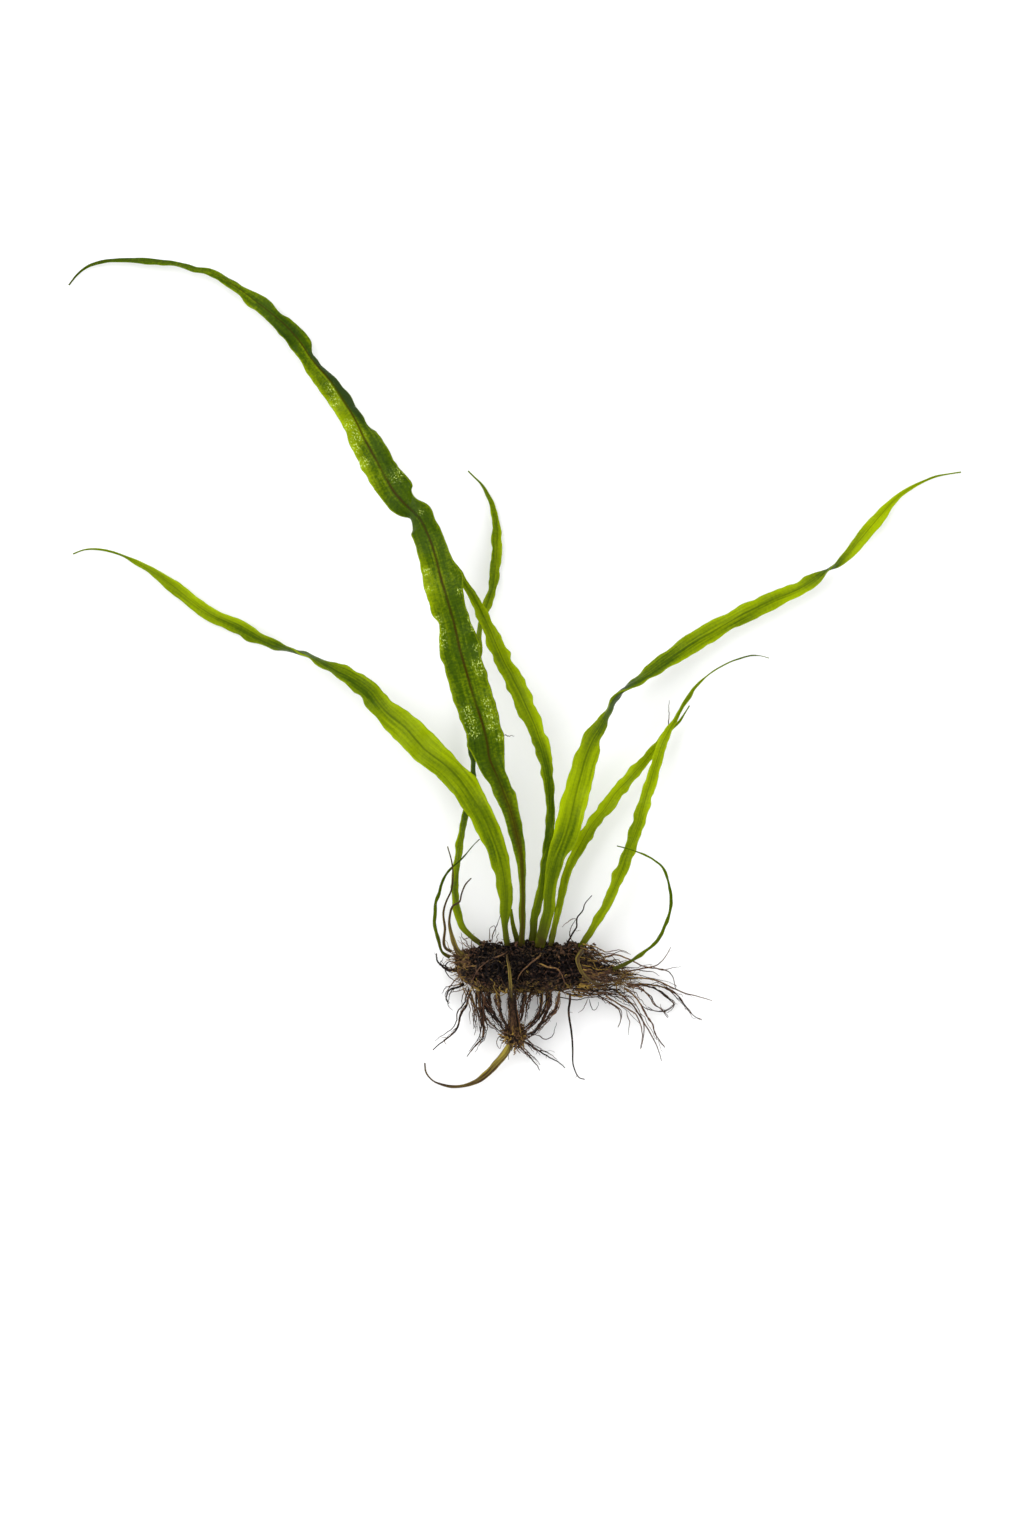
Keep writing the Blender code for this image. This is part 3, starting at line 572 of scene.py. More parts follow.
@dataclass(frozen=True)
class Leaf:
    """One leaf: a blade on a stalk, carried along a path of rows.

    Each row is x, y, z, the reach to the left and to the right of the midrib, and roll in degrees, from the
    rhizome to the tip. Tones are a distance from the rhizome, the tone there, which is partly the leaf's own
    colour and partly painted light and shade, and how much the left rim is brighter than the middle, a
    painted light and shade between the halves. Bends are a distance and the angles in degrees that the left
    and right halves lift off the blade's plane there; a lifted half is painted darker, a painted shade.
    Highlight spots are x, y and radius, places of painted highlight. The stalk is a rod while the leaf is
    narrower than the stalk's width, as far as the stalk's share of its length.
    """

    name: str
    rows: Sequence[Row]
    slot: Slot
    blade: Blade
    seed: int
    tones: Sequence[Triple]
    bends: Sequence[Triple] = ((0.0, 0.0, 0.0),)
    # Spots and bands of painted highlight on the upper side.
    highlight_spots: Sequence[Triple] = ()
    highlight_share: float = 0.0
    fold: float = 8.0
    fold_ease: float = 0.4
    ruffle: float = 0.5
    ruffle_lengths: Sequence[float] = (17.0, 9.3, 6.1, 4.3)
    wobble: float = 0.012
    crinkle: float = 0.06
    wrinkle: float = 0.02
    crumple: float = 0.5
    step: float = 0.35
    half_columns: int = 12
    full_width: float = 5.0
    least_reach: float = 0.09
    clearance: float = 0.04
    blade_half: float = 0.12
    rib_height: float = 0.16
    rib_gap: Span = (0.08, 0.42)
    stalk_round: float = 0.42
    stalk_limit: float = 0.8
    stalk_width: float = 3.4
    stalk_share: float = 0.40
    bend_shade: float = 1.4
    twist_shade: float = 0.4
    nodes: Sequence[str] = ()

    def section(self) -> tuple[Array, Array]:
        """The closed section, from the left rim over the upper side to the right one and back below.

        Returns:
            Where each point lies across the blade, from 1 at the left rim to -1 at the right one, and 1
            above, -1 below and 0 at the rims.
        """
        top = np.cos(np.linspace(0.0, np.pi, 2 * self.half_columns + 1))
        across = np.concatenate((top, top[-2:0:-1]))
        face = np.concatenate((np.full(len(top), 1.0), np.full(len(top) - 2, -1.0)))
        face[0] = face[len(top) - 1] = 0.0
        return across, face

    def highlight_mask(self, points: Array, face: Array, distance: Array) -> Array:
        """How much painted highlight the upper side carries: round spots that fade outwards, and broken bands
        along the leaf.

        Args:
            points: the points of the leaf.
            face: 1 above, -1 below and 0 at the rims.
            distance: how far each section is from the rhizome.

        Returns:
            A share for each point.
        """
        without_highlight = np.ones(points.shape[:-1])
        for x, y, radius in self.highlight_spots:
            gap = (points[..., 0] - x) ** 2 + (points[..., 1] - y) ** 2
            without_highlight = without_highlight * (1.0 - np.exp(-gap / radius**2))
        bands = waves(distance, *HIGHLIGHT_WAVES, self.seed + 90, 1)
        loose = self.highlight_share * np.clip(bands - 0.7, 0.0, 1.0)
        return np.where(face < 0, 0.0, np.maximum(1.0 - without_highlight, loose))

    def surface(self) -> tuple[Array, dict[str, Array], Array]:
        """Work out the whole leaf.

        A point lies on its half of the blade at its share of that half's reach. Each half is a straight line
        in the section that leaves the midrib at the fold's angle, eased near the midrib. Ruffles that grow
        with the square of the share lift it, small wrinkles run across it, and half the thickness is added
        along the half's own normal, with a double ridge along the midrib. Where the leaf is twisted it is
        thicker. The stalk is an oval rod that goes over into the blade. The section rolls about the path.

        Returns:
            The points, the values for the finish, and the flat position.
        """
        line, distance = follow(self.rows, self.step)
        across, face = self.section()
        left, ahead = across > 0, distance[:, None]
        place, roll = line[:, :3], np.radians(line[:, 5])[:, None]
        halves = np.maximum(line[:, 3:5], self.least_reach)
        width = halves.sum(axis=1)[:, None]
        wide = np.clip(width / self.full_width, 0.0, 1.0)
        _, side, up = travel(place)
        sideways = np.cos(roll) * side + np.sin(roll) * up
        outward = np.cos(roll) * up - np.sin(roll) * side

        lobes = sided(left, waves(distance, *LOBE_WAVES, self.seed, 2))
        crinkles = sided(left, waves(distance, *CRINKLE_WAVES, self.seed + 30, 2))
        reach = np.abs(across) * sided(left, halves) * (1.0 + self.wobble * wide * lobes * across**2)
        reach = reach + self.crinkle * wide * across**4 * crinkles

        lifts = sided(left, straight(self.bends, distance))
        angle = np.radians(self.fold * wide + lifts)
        ruffles = sided(left, waves(distance, self.ruffle_lengths, RUFFLE_WEIGHTS, self.seed + 50, 2))
        ruffle = self.ruffle * wide**1.5 * across**2 * ruffles * np.cos(angle) ** 3
        wrinkle = (np.sin(2 * np.pi * ahead / 1.7 + 3.0 * np.sin(2 * np.pi * reach / 2.9))
                   * np.sin(2 * np.pi * reach / 1.5 + 2.0 * np.sin(2 * np.pi * ahead / 3.1)))

        rod_share = (np.clip((self.stalk_width - width) / 1.4, 0.0, 1.0)
                     * np.clip((self.stalk_share - ahead / distance[-1]) / 0.2, 0.0, 1.0))
        round_off = np.sqrt(np.maximum(1 - across**2, 0.0))
        rod = np.minimum(self.stalk_round * width * round_off, self.stalk_limit)
        blade = np.minimum(self.blade_half, self.stalk_round * width / 2) * (1 - across**8)
        gap = np.clip(0.036 * width, *self.rib_gap)
        ridge = self.rib_height * np.clip(width, 0.5, self.full_width) / self.full_width * (
            np.exp(-(reach / gap / 1.6) ** 2) - 0.6 * np.exp(-(reach / gap / 0.6) ** 2))
        twist = np.exp(-(np.cos(roll) / 0.30) ** 2) * wide
        crumple = self.crumple * twist * round_off
        thick = face * ((1 - rod_share) * (blade + ridge + crumple) + rod_share * rod)

        lean = ruffle + self.wrinkle * wrinkle * wide + thick
        out = np.sign(across) * reach * np.cos(angle) - across / np.hypot(across, 0.1) * np.sin(angle) * lean
        lift = (np.hypot(reach, self.fold_ease) - self.fold_ease) * np.sin(angle) + np.cos(angle) * lean
        points = place[:, None] + sideways[:, None] * out[..., None] + outward[:, None] * lift[..., None]
        points[..., 2] = np.maximum(points[..., 2], self.clearance)

        # The tone holds painted light and shade: one half is painted lighter than the other by the half
        # light, and bent halves and twisted parts are painted darker.
        tone, half_light = straight(self.tones, distance).T[..., None]
        bent = 1.0 - np.cos(np.radians(lifts))
        from_root = np.broadcast_to(ahead, reach.shape)
        layers = {
            "edge": np.broadcast_to(across, reach.shape),
            "rib": reach / gap,
            "from_root": from_root,
            "tone": tone + half_light * across - self.bend_shade * bent - self.twist_shade * twist,
            "painted_highlight": self.highlight_mask(points, np.broadcast_to(face, reach.shape), distance),
        }
        return points, layers, np.stack((np.sign(across) * reach, from_root), axis=-1)

    def build(self, material: Material) -> None:
        """Make the leaf's piece.

        Args:
            material: its finish.
        """
        points, layers, flat = self.surface()
        faces = ring_faces(1, *points.shape[:2])
        nodes = self.nodes or (self.name.removesuffix("_blade"),)
        make_piece(self.name, points, faces, material, nodes, layers, flat)


# Rows of the leaves. Another program wrote out the first twelve tables: it followed midlines picked by hand,
# looked for the rims in the photo, and gave a row about every 3 mm. Some rows were changed afterwards.

LEAF_TALL = (
    (-0.6, 5.2, 10.8, 0.9, 0.9, 0), (-0.6, 8.8, 12.5, 0.8, 0.8, 0), (-0.4, 11.8, 13.5, 0.8, 0.8, 0),
    (-0.3, 15.7, 14.7, 1.2, 0.7, 0), (-0.3, 18.7, 15.7, 0.9, 0.7, 0), (-0.4, 22.5, 17, 0.9, 0.8, 0),
    (-0.5, 25.5, 18.1, 1.1, 1, 2), (-0.7, 29.3, 19.3, 1.5, 1.1, 5), (-1.2, 32.4, 20.1, 1.8, 1.5, 4),
    (-2.1, 36.2, 21, 2, 1.8, 0), (-2.8, 39.2, 21.9, 2.1, 2, -8), (-3.9, 42.9, 22.9, 2.2, 2.4, -3),
    (-5.1, 45.8, 23.5, 2.6, 2.9, 8), (-6.4, 49.5, 24.3, 2.7, 2.3, -22), (-7.7, 52.4, 24.7, 3.4, 3.1, -17),
    (-9.2, 56.1, 25.2, 3.7, 4.2, 3), (-9.6, 59.2, 25.8, 5.2, 4.6, 6), (-10.5, 63.1, 26.2, 4.9, 4.5, 5),
    (-11.4, 66.2, 26.4, 5.1, 4.8, 0), (-12.7, 70, 26.5, 5.3, 5, -4), (-13.6, 73.1, 26.5, 5.3, 4.9, -1),
    (-14.7, 76.9, 26.5, 5.3, 5.1, 4), (-15.6, 80, 26.3, 5.3, 4.7, 0), (-16.7, 83.8, 26, 5.3, 5.4, -6),
    (-17.6, 87.7, 25.6, 4.8, 4.8, -1), (-18.3, 90.8, 25.2, 3.8, 4.3, 5), (-19.4, 94.6, 24.7, 4.9, 4.3, 4),
    (-20.3, 97.7, 24.3, 4.9, 4.6, -1), (-21.4, 101.5, 23.6, 4.9, 6, -5), (-22.2, 104.5, 23, 4.7, 4.9, -2),
    (-23.2, 108.3, 22.1, 4.3, 3.9, 1), (-24.1, 111.3, 21.3, 4.3, 3.8, -4),
    (-25.5, 114.9, 20.3, 4.1, 3.9, -25), (-26.8, 117.7, 19.4, 4.5, 5.2, -46),
    (-29.3, 120.5, 18.2, 3.6, 5.1, -50), (-31.5, 122.5, 16.9, 3.8, 5.6, -24),
    (-34, 125.3, 15.5, 3.9, 5.3, -6), (-35.6, 127.9, 14.7, 4.2, 4.7, 2), (-37.5, 131.3, 13.6, 4.4, 4.2, 4),
    (-38.9, 134, 12.6, 4.5, 4.1, 1), (-40.8, 137.4, 11.6, 4.2, 4.1, 2), (-42.3, 140.1, 10.8, 4.2, 3.7, 6),
    (-44, 143.7, 10, 3.8, 3.1, 7), (-45.5, 146.5, 9.3, 3.8, 3.4, 2), (-47.6, 149.8, 8.6, 3.6, 4.1, 0),
    (-49.3, 152.5, 8, 3.9, 3.4, 0), (-51.6, 155.7, 7.4, 3.9, 2.8, 0), (-54.3, 158.7, 6.9, 3.6, 2.3, 8),
    (-56.3, 161.1, 6.3, 3, 2.1, 21), (-58.4, 164.4, 5.5, 2.9, 2.6, 17), (-60.3, 166.9, 5, 3, 2.6, 8),
    (-63, 169.9, 4.6, 2.8, 2.1, 1), (-65.4, 172, 4.4, 2.4, 1.6, -1), (-68.5, 174.5, 4, 2, 2.4, 2),
    (-71, 176.4, 3.6, 2.2, 2.2, 9), (-74.2, 178.8, 3.2, 1.8, 1.4, 23), (-76.9, 180.6, 3, 1.6, 1.5, 30),
    (-80.2, 182.8, 2.8, 1.5, 1.3, 36), (-83.1, 184.1, 2.8, 1.2, 1.2, 40), (-87.1, 184.9, 2.8, 1.1, 1.1, 43),
    (-90.1, 185.8, 2.7, 1.1, 1.1, 43), (-94.1, 186.6, 2.5, 1.1, 1.1, 42), (-97.2, 186.9, 2.4, 1.2, 1.2, 42),
    (-101.3, 187.1, 2.2, 1, 1.1, 42), (-104.5, 187.3, 2, 0.8, 1, 41), (-108.5, 187.4, 1.8, 0.8, 0.6, 35),
    (-111.6, 187, 1.5, 0.6, 0.6, 27), (-115.5, 185.8, 1.1, 0.4, 0.4, 14), (-118, 184, 0.8, 0.3, 0.3, 7),
    (-120.6, 180.9, 0.5, 0.2, 0.2, 0),
)
LEAF_LEFT = (
    (-4, 4.8, 10, 0.8, 0.8, 0), (-4.6, 7.7, 11.2, 0.8, 0.8, 0), (-5, 11.7, 11.8, 0.9, 0.8, 0),
    (-4.9, 14.8, 12.5, 1.5, 1.3, 0), (-4.8, 18.7, 13.4, 1.7, 1.9, 2), (-5, 21.8, 13.9, 2.3, 1.9, 5),
    (-5.5, 25.7, 14.7, 2.3, 2, 0), (-6.2, 28.8, 15.3, 2.8, 2.4, -6), (-7.4, 32.6, 15.8, 2.6, 2.5, 0),
    (-8.5, 35.6, 16, 3.3, 2.8, 6), (-10.1, 39.3, 16.1, 3.4, 2.7, -1), (-11.6, 42.1, 16, 3.5, 3.1, -5),
    (-13.8, 45.5, 15.7, 3.7, 3.3, 2), (-15.6, 48.1, 15.4, 3.6, 3.9, 4), (-18.1, 51.3, 15.2, 3.9, 3.1, -1),
    (-20.3, 53.5, 14.9, 3.7, 3.3, -3), (-23.5, 55.9, 14.4, 3.8, 4.2, -2), (-26, 57.8, 13.9, 3.7, 4.5, 0),
    (-28.7, 60.7, 13.3, 3.9, 4.3, 2), (-30.8, 63.1, 12.7, 4, 4, 3), (-33.8, 65.7, 11.9, 3.8, 3.6, 5),
    (-36.2, 67.7, 11.3, 3.2, 3.2, 7), (-38.7, 70.6, 10.3, 3.2, 2.9, 10), (-40.6, 73, 9.5, 2.8, 2.8, 14),
    (-43.7, 75.4, 8.4, 2.7, 2.6, 23), (-46.4, 77, 7.7, 2.3, 2.6, 30), (-49.2, 78.3, 7, 2.1, 3, 39),
    (-52.6, 80.3, 6.2, 2, 2.3, 54), (-55.3, 81.9, 5.5, 2.1, 2.1, 68), (-59, 83.3, 4.7, 2, 2, 86),
    (-62, 84.2, 4.3, 1.9, 1.9, 106), (-65.9, 85.3, 4, 2.1, 1.8, 130), (-68.8, 86.6, 3.7, 2, 1.5, 141),
    (-72.3, 88.5, 3.5, 2.1, 2.3, 154), (-75.1, 90.1, 3.4, 2.1, 2.3, 163), (-78.7, 91.7, 3.2, 1.8, 1.9, 171),
    (-81.7, 93, 3.1, 1.8, 1.9, 181), (-85.1, 95, 2.9, 1.9, 1.9, 184), (-87.7, 97, 2.8, 1.7, 1.7, 180),
    (-90.8, 99.5, 2.6, 1.9, 1.8, 184), (-93.3, 101.5, 2.3, 1.6, 1.8, 186),
    (-96.5, 103.8, 2.1, 1.2, 1.3, 182), (-99.2, 105.5, 1.8, 1, 0.8, 180),
    (-102.8, 107.5, 1.5, 0.7, 0.7, 180), (-105.6, 108.9, 1.3, 0.4, 0.3, 180),
    (-109.4, 110.3, 1, 0.3, 0.3, 180), (-112.5, 110.9, 0.9, 0.3, 0.3, 180),
    (-116.5, 110.8, 0.6, 0.2, 0.2, 180), (-119.5, 109.7, 0.5, 0.2, 0.2, 180),
)
LEAF_BACK = (
    (-10.4, 6, 6.6, 0.7, 0.7, 0), (-12.4, 7.3, 6.3, 0.7, 0.7, -1), (-14.2, 8.9, 6, 0.7, 0.7, 9),
    (-16.2, 11.4, 5.8, 1.3, 0.6, 31), (-17.1, 13.6, 5.7, 1.3, 1, 41), (-17.7, 16, 5.6, 1.7, 1.1, 48),
    (-18.2, 18.3, 5.5, 1.3, 1.5, 51), (-18.4, 21.5, 5.4, 1.9, 1.5, 52), (-18.2, 23.9, 5.4, 1.4, 1.1, 52),
    (-17.9, 26.3, 5.4, 1.4, 1, 52), (-17.6, 28.7, 5.3, 1.7, 1.4, 51), (-17.2, 31.9, 5.3, 1.7, 1.3, 50),
    (-16.8, 34.2, 5.2, 1.4, 1.3, 51), (-16.4, 36.6, 5.1, 1.5, 1.3, 52), (-16, 39, 5, 1.5, 1.4, 53),
    (-15.3, 42.1, 4.9, 1.4, 1.4, 54), (-14.7, 44.4, 4.8, 1.4, 1.4, 55), (-14.1, 46.8, 4.8, 1.4, 1.4, 56),
    (-13.6, 49.1, 4.7, 1.4, 1.4, 58), (-13.5, 51.5, 4.7, 1.3, 1.3, 58), (-13.6, 54.7, 4.6, 1.3, 1.3, 58),
    (-14.1, 57.1, 4.5, 1.3, 1.3, 56), (-14.4, 59.5, 4.5, 1.4, 1.4, 54), (-14.2, 61.9, 4.4, 1.6, 1.4, 52),
    (-13.8, 65.1, 4.4, 1.4, 1.4, 50), (-13.5, 67.5, 4.4, 1.4, 1.4, 49), (-13.2, 69.8, 4.3, 1.4, 1.4, 47),
    (-13, 72.2, 4.3, 1.4, 1.4, 46), (-12.7, 75.4, 4.2, 1.5, 1.5, 45), (-12.5, 77.8, 4.1, 1.5, 1.5, 46),
    (-12.3, 80.2, 4.1, 1.5, 1.5, 48), (-12.2, 82.6, 4, 1.5, 1.5, 50), (-12.1, 85.8, 3.9, 1.4, 1.4, 55),
    (-12, 88.2, 3.8, 1.4, 1.4, 58), (-11.6, 90.6, 3.7, 1.4, 1.4, 55), (-11.1, 92.9, 3.7, 1.4, 1.4, 49),
    (-10.3, 95.2, 3.6, 1.5, 1.6, 44), (-9.2, 98.2, 3.4, 1.5, 1.7, 40), (-8.5, 100.5, 3.3, 1.5, 1.4, 38),
    (-8, 102.9, 3.1, 1.7, 1.5, 35), (-7.7, 105.3, 3, 1.8, 1.4, 31), (-7.4, 108.4, 2.8, 1.6, 1.6, 24),
    (-7.2, 110.8, 2.6, 1.6, 1.4, 21), (-7.2, 113.2, 2.4, 1.6, 1.4, 21), (-7.2, 115.6, 2.2, 1.5, 1.3, 25),
    (-7.5, 118.8, 2, 1.2, 0.9, 24), (-8, 121.2, 1.8, 1, 0.8, 19), (-8.7, 123.5, 1.5, 0.7, 0.6, 5),
    (-9.7, 125.6, 1.2, 0.6, 0.5, -2), (-11.4, 128.3, 0.8, 0.3, 0.3, 0), (-13.1, 130, 0.7, 0.2, 0.2, 0),
    (-14.8, 131.7, 0.5, 0.2, 0.2, 0),
)
LEAF_MIDDLE = (
    (2.1, 5.6, 9, 1, 1, 0), (2.2, 7.8, 9.9, 1, 1, 0), (2.4, 10.1, 10.6, 1, 1, 0),
    (2.7, 13.3, 11.1, 1.1, 1, -1), (3.2, 15.6, 11.5, 1.2, 1.1, 0), (3.8, 17.9, 11.9, 1.3, 1.1, 5),
    (4.4, 20.1, 12.2, 1.2, 1.1, 8), (4.8, 23.3, 12.7, 1.1, 1.1, 0), (5, 25.7, 13, 0.8, 1.2, -7),
    (5.3, 28, 13.3, 1.1, 1.2, -6), (5.9, 30.3, 13.7, 1.2, 1.2, 4), (6.4, 33.4, 14.1, 1.4, 1.3, 7),
    (6.7, 35.8, 14.3, 1.3, 1.2, -7), (6.9, 38.2, 14.5, 1.3, 1.2, -6), (7, 40.6, 14.6, 1.4, 1, 15),
    (7, 43, 14.6, 1.5, 1.3, 28), (6.9, 46.2, 14.6, 1.9, 1.1, 31), (6.7, 48.6, 14.6, 1.9, 1.3, 29),
    (6.4, 51, 14.5, 2.2, 1.3, 26), (6, 53.3, 14.5, 2, 1.6, 21), (5.3, 56.5, 14.4, 2.4, 2, 16),
    (4.7, 58.8, 14.4, 2.1, 2.1, 12), (3.9, 61, 14.2, 2.2, 2, 9), (3.1, 63.3, 14.1, 2.2, 2, 5),
    (1.9, 66.2, 14, 2.5, 2.4, -2), (0.9, 68.4, 13.8, 2.8, 2.4, -6), (-0.1, 70.6, 13.6, 2.7, 2.5, -4),
    (-1.1, 72.8, 13.3, 2.6, 2.6, 1), (-2.5, 75.6, 12.9, 2.6, 2.6, 4), (-3.5, 77.7, 12.6, 2.3, 2.4, -2),
    (-4.7, 79.8, 12.3, 2.3, 2.2, -9), (-5.7, 81.9, 11.9, 2.4, 2.2, -14), (-6.7, 84.1, 11.6, 2.2, 2.3, -11),
    (-8, 87, 11.1, 2.3, 2.1, 3), (-8.9, 89.2, 10.7, 1.9, 1.6, 10), (-9.9, 91.3, 10.3, 1.6, 1.5, 6),
    (-10.9, 93.5, 10, 2, 1.5, -6), (-12.3, 96.3, 9.5, 1.4, 1.3, -14), (-13.5, 98.4, 9.2, 1.3, 1.1, -5),
    (-14.7, 100.4, 8.9, 1.2, 0.9, 5), (-15.9, 102.5, 8.7, 1.1, 0.8, 7), (-17.9, 105.2, 8.4, 0.9, 0.9, 1),
    (-19.4, 107.2, 8.2, 0.6, 0.6, 0), (-20.8, 109.2, 8, 0.3, 0.3, 0),
)
LEAF_RIGHT = (
    (4.3, 5.8, 11.6, 1.6, 1.1, 0), (4.9, 8.7, 12.7, 1.7, 1.2, 0), (5.9, 12.6, 13.3, 1.7, 1.3, 0),
    (6.5, 15.7, 13.7, 1.6, 1.5, 1), (6.7, 19.7, 14.4, 1.6, 1.6, 5), (7.1, 22.8, 14.9, 1.8, 1.5, 3),
    (7.9, 26.6, 15.7, 2.2, 1.9, -3), (8.7, 29.7, 16.2, 2.6, 2.1, -5), (10.1, 33.4, 16.7, 3.1, 3, 1),
    (11.2, 36.4, 17, 3.4, 3.4, 5), (12.2, 40.3, 17.2, 3.5, 3.4, 1), (12.9, 43.4, 17.2, 3.5, 3.5, -3),
    (13.8, 47.3, 17.1, 3.2, 3.6, 0), (14.6, 50.4, 16.8, 3.2, 3.5, 5), (15.6, 54.2, 16.1, 3, 3.3, 12),
    (16.6, 57.2, 15.4, 2.7, 3.3, 18), (18.2, 60.7, 14.4, 3.4, 2.2, 27), (19.7, 63.3, 13.3, 3.3, 2.1, 43),
    (21.1, 66, 12.2, 2.5, 2.5, 56), (22.8, 69.4, 10.8, 2.4, 2.4, 68), (24.4, 71.9, 9.8, 2.3, 2.3, 81),
    (27.3, 74.4, 8.7, 2.2, 2.2, 105), (30, 76.1, 8, 2.2, 2.2, 119), (33.3, 78.2, 7.3, 2, 2.8, 136),
    (35.9, 80.1, 7, 2.1, 2.9, 146), (39.1, 82.3, 6.6, 2.4, 2.9, 156), (41.8, 84.1, 6.3, 2.4, 2.8, 164),
    (45.2, 86.3, 6, 2.5, 2.8, 171), (47.9, 87.9, 5.8, 2.5, 2.8, 176), (51.3, 89.9, 5.5, 2.3, 2.8, 178),
    (54.1, 91.5, 5.4, 2, 2.4, 175), (57.6, 93.5, 5.2, 2.6, 2.5, 172), (60.5, 94.9, 5.1, 2.5, 2.3, 174),
    (64.1, 96.7, 4.9, 2.6, 2.2, 178), (67, 98, 4.8, 2.3, 2.2, 177), (70, 99.1, 4.6, 1.9, 2.2, 171),
    (73.6, 100.8, 4.4, 1.8, 2.1, 160), (76.3, 102.5, 4.3, 1.8, 2.1, 149), (79.6, 104.9, 4.1, 1.5, 1.6, 120),
    (82.3, 106.6, 3.9, 1.5, 1.6, 66), (85.2, 109.2, 3.5, 1.5, 1.8, 36), (87.3, 111.6, 3.3, 1.5, 1.9, 22),
    (89.9, 114.7, 3.1, 1.8, 1.9, 12), (92, 117.2, 2.9, 1.6, 1.9, 3), (94.6, 120.2, 2.6, 1.4, 1.7, -1),
    (96.7, 122.6, 2.3, 1.1, 1.1, 0), (99.6, 125.3, 1.8, 0.7, 0.7, 0), (102.2, 127.1, 1.5, 0.5, 0.6, 0),
    (105.7, 128.9, 1.1, 0.3, 0.4, 0), (108.7, 130.1, 0.9, 0.3, 0.3, 0), (112.6, 130.9, 0.7, 0.2, 0.2, 0),
    (115.8, 131.4, 0.5, 0.2, 0.2, 0),
)
LEAF_RIGHT_NARROW = (
    (6.9, 5.8, 8.5, 0.8, 0.8, 0), (7.3, 8.1, 9.1, 0.8, 0.8, 0), (8, 11.2, 9.4, 0.8, 0.8, -1),
    (8.5, 13.6, 9.5, 0.8, 0.9, 0), (9.1, 15.9, 9.7, 0.9, 0.9, 2), (9.7, 18.2, 9.9, 1.1, 0.9, 6),
    (10.4, 21.4, 10.1, 1.2, 0.9, 1), (10.9, 23.7, 10.2, 1.3, 1.1, -6), (11.6, 26, 10.2, 1.2, 1, -2),
    (12.5, 28.3, 10.2, 1.3, 1.2, 7), (13.9, 31.2, 10.1, 1.5, 1.7, 1), (15.1, 33.3, 10, 1.6, 1.6, -8),
    (16.2, 35.4, 9.9, 1.7, 2, -3), (17.8, 38.2, 9.6, 1.5, 1.7, 8), (19.3, 40, 9.4, 1.6, 1.8, 2),
    (20.9, 41.8, 9.1, 1.8, 1.7, -8), (22.3, 43.8, 8.9, 1.7, 2.2, -2), (24, 46.4, 8.5, 1.5, 2, 10),
    (25.7, 48.2, 8.1, 1.5, 1.9, 0), (27.4, 49.8, 7.7, 1.7, 1.6, -11), (29.5, 52.2, 7.2, 1.8, 1.4, -3),
    (31.1, 54, 6.7, 1.5, 1.3, 12), (32.6, 55.8, 6.2, 1.4, 1.3, 18), (34.1, 57.6, 5.8, 1.2, 1.3, 5),
    (36, 60.1, 5.1, 0.9, 1.2, -10), (37.3, 62, 4.5, 0.8, 1.1, -3), (39, 63.6, 3.8, 0.7, 0.6, 0),
    (40.8, 65, 3.1, 0.4, 0.4, 0), (42.6, 67.6, 2.2, 0.2, 0.2, 0), (43.8, 69.5, 1.5, 0.2, 0.2, 0),
)
LEAF_RIGHT_SLIM = (
    (13.6, 4.9, 7.8, 0.8, 0.8, 0), (15.3, 6.5, 8.2, 0.8, 0.8, 0), (16.6, 8.5, 8.7, 0.9, 0.9, 0),
    (18.2, 11.2, 9.4, 0.9, 1.1, 0), (19.3, 13.3, 9.9, 1.1, 1.3, 0), (20.5, 15.3, 10.5, 1, 1.4, -4),
    (21.7, 17.3, 11.1, 1.1, 1.4, -8), (23.1, 20.1, 11.6, 1.5, 1.3, -3), (24.1, 22.3, 11.9, 1.6, 1.3, 5),
    (25, 24.5, 12.2, 2, 1.3, 8), (25.9, 26.7, 12.3, 1.7, 1.7, 4), (26.9, 29.7, 12.4, 1.5, 1.7, -7),
    (27.8, 32, 12.4, 1.4, 1.7, -7), (28.7, 34.2, 12.3, 1.7, 1.5, 0), (29.5, 36.5, 12.2, 2.1, 1.4, 7),
    (30.3, 38.7, 12.1, 2, 1.6, 7), (31.1, 41.8, 11.8, 1.9, 1.5, -2), (31.7, 44.1, 11.5, 1.6, 1.8, -8),
    (32.3, 46.4, 11.2, 1.6, 1.7, -6), (33, 48.7, 10.8, 1.4, 1.8, 2), (33.9, 51.7, 10.2, 1.4, 1.7, 10),
    (34.6, 54, 9.8, 1.2, 1.5, 6), (35.3, 56.2, 9.3, 1.4, 1.5, -2), (36, 58.4, 8.7, 1.3, 1.4, -10),
    (37.3, 61.3, 8, 1.3, 1.1, -6), (38.4, 63.4, 7.5, 1, 0.9, 0), (39.6, 65.4, 7, 0.5, 0.7, 0),
    (40.7, 67.4, 6.4, 0.5, 0.6, 0), (41.9, 69.4, 5.8, 0.5, 0.5, 0), (43.6, 72, 4.9, 0.6, 0.7, 0),
    (45, 73.8, 4.1, 0.6, 0.3, 0), (46.5, 75.6, 3.5, 0.4, 0.3, 0), (48.2, 77.2, 2.9, 0.2, 0.2, 0),
    (50.7, 79, 2.2, 0.2, 0.2, 0), (52.8, 80.2, 1.8, 0.2, 0.2, 0), (54.9, 81.2, 1.5, 0.2, 0.2, 0),
    (57.2, 82, 1.2, 0.2, 0.2, 0), (60.3, 82.8, 0.9, 0.2, 0.2, 0), (62.7, 82.7, 0.6, 0.1, 0.1, 0),
    (65, 82.1, 0.5, 0.1, 0.1, 0),
)
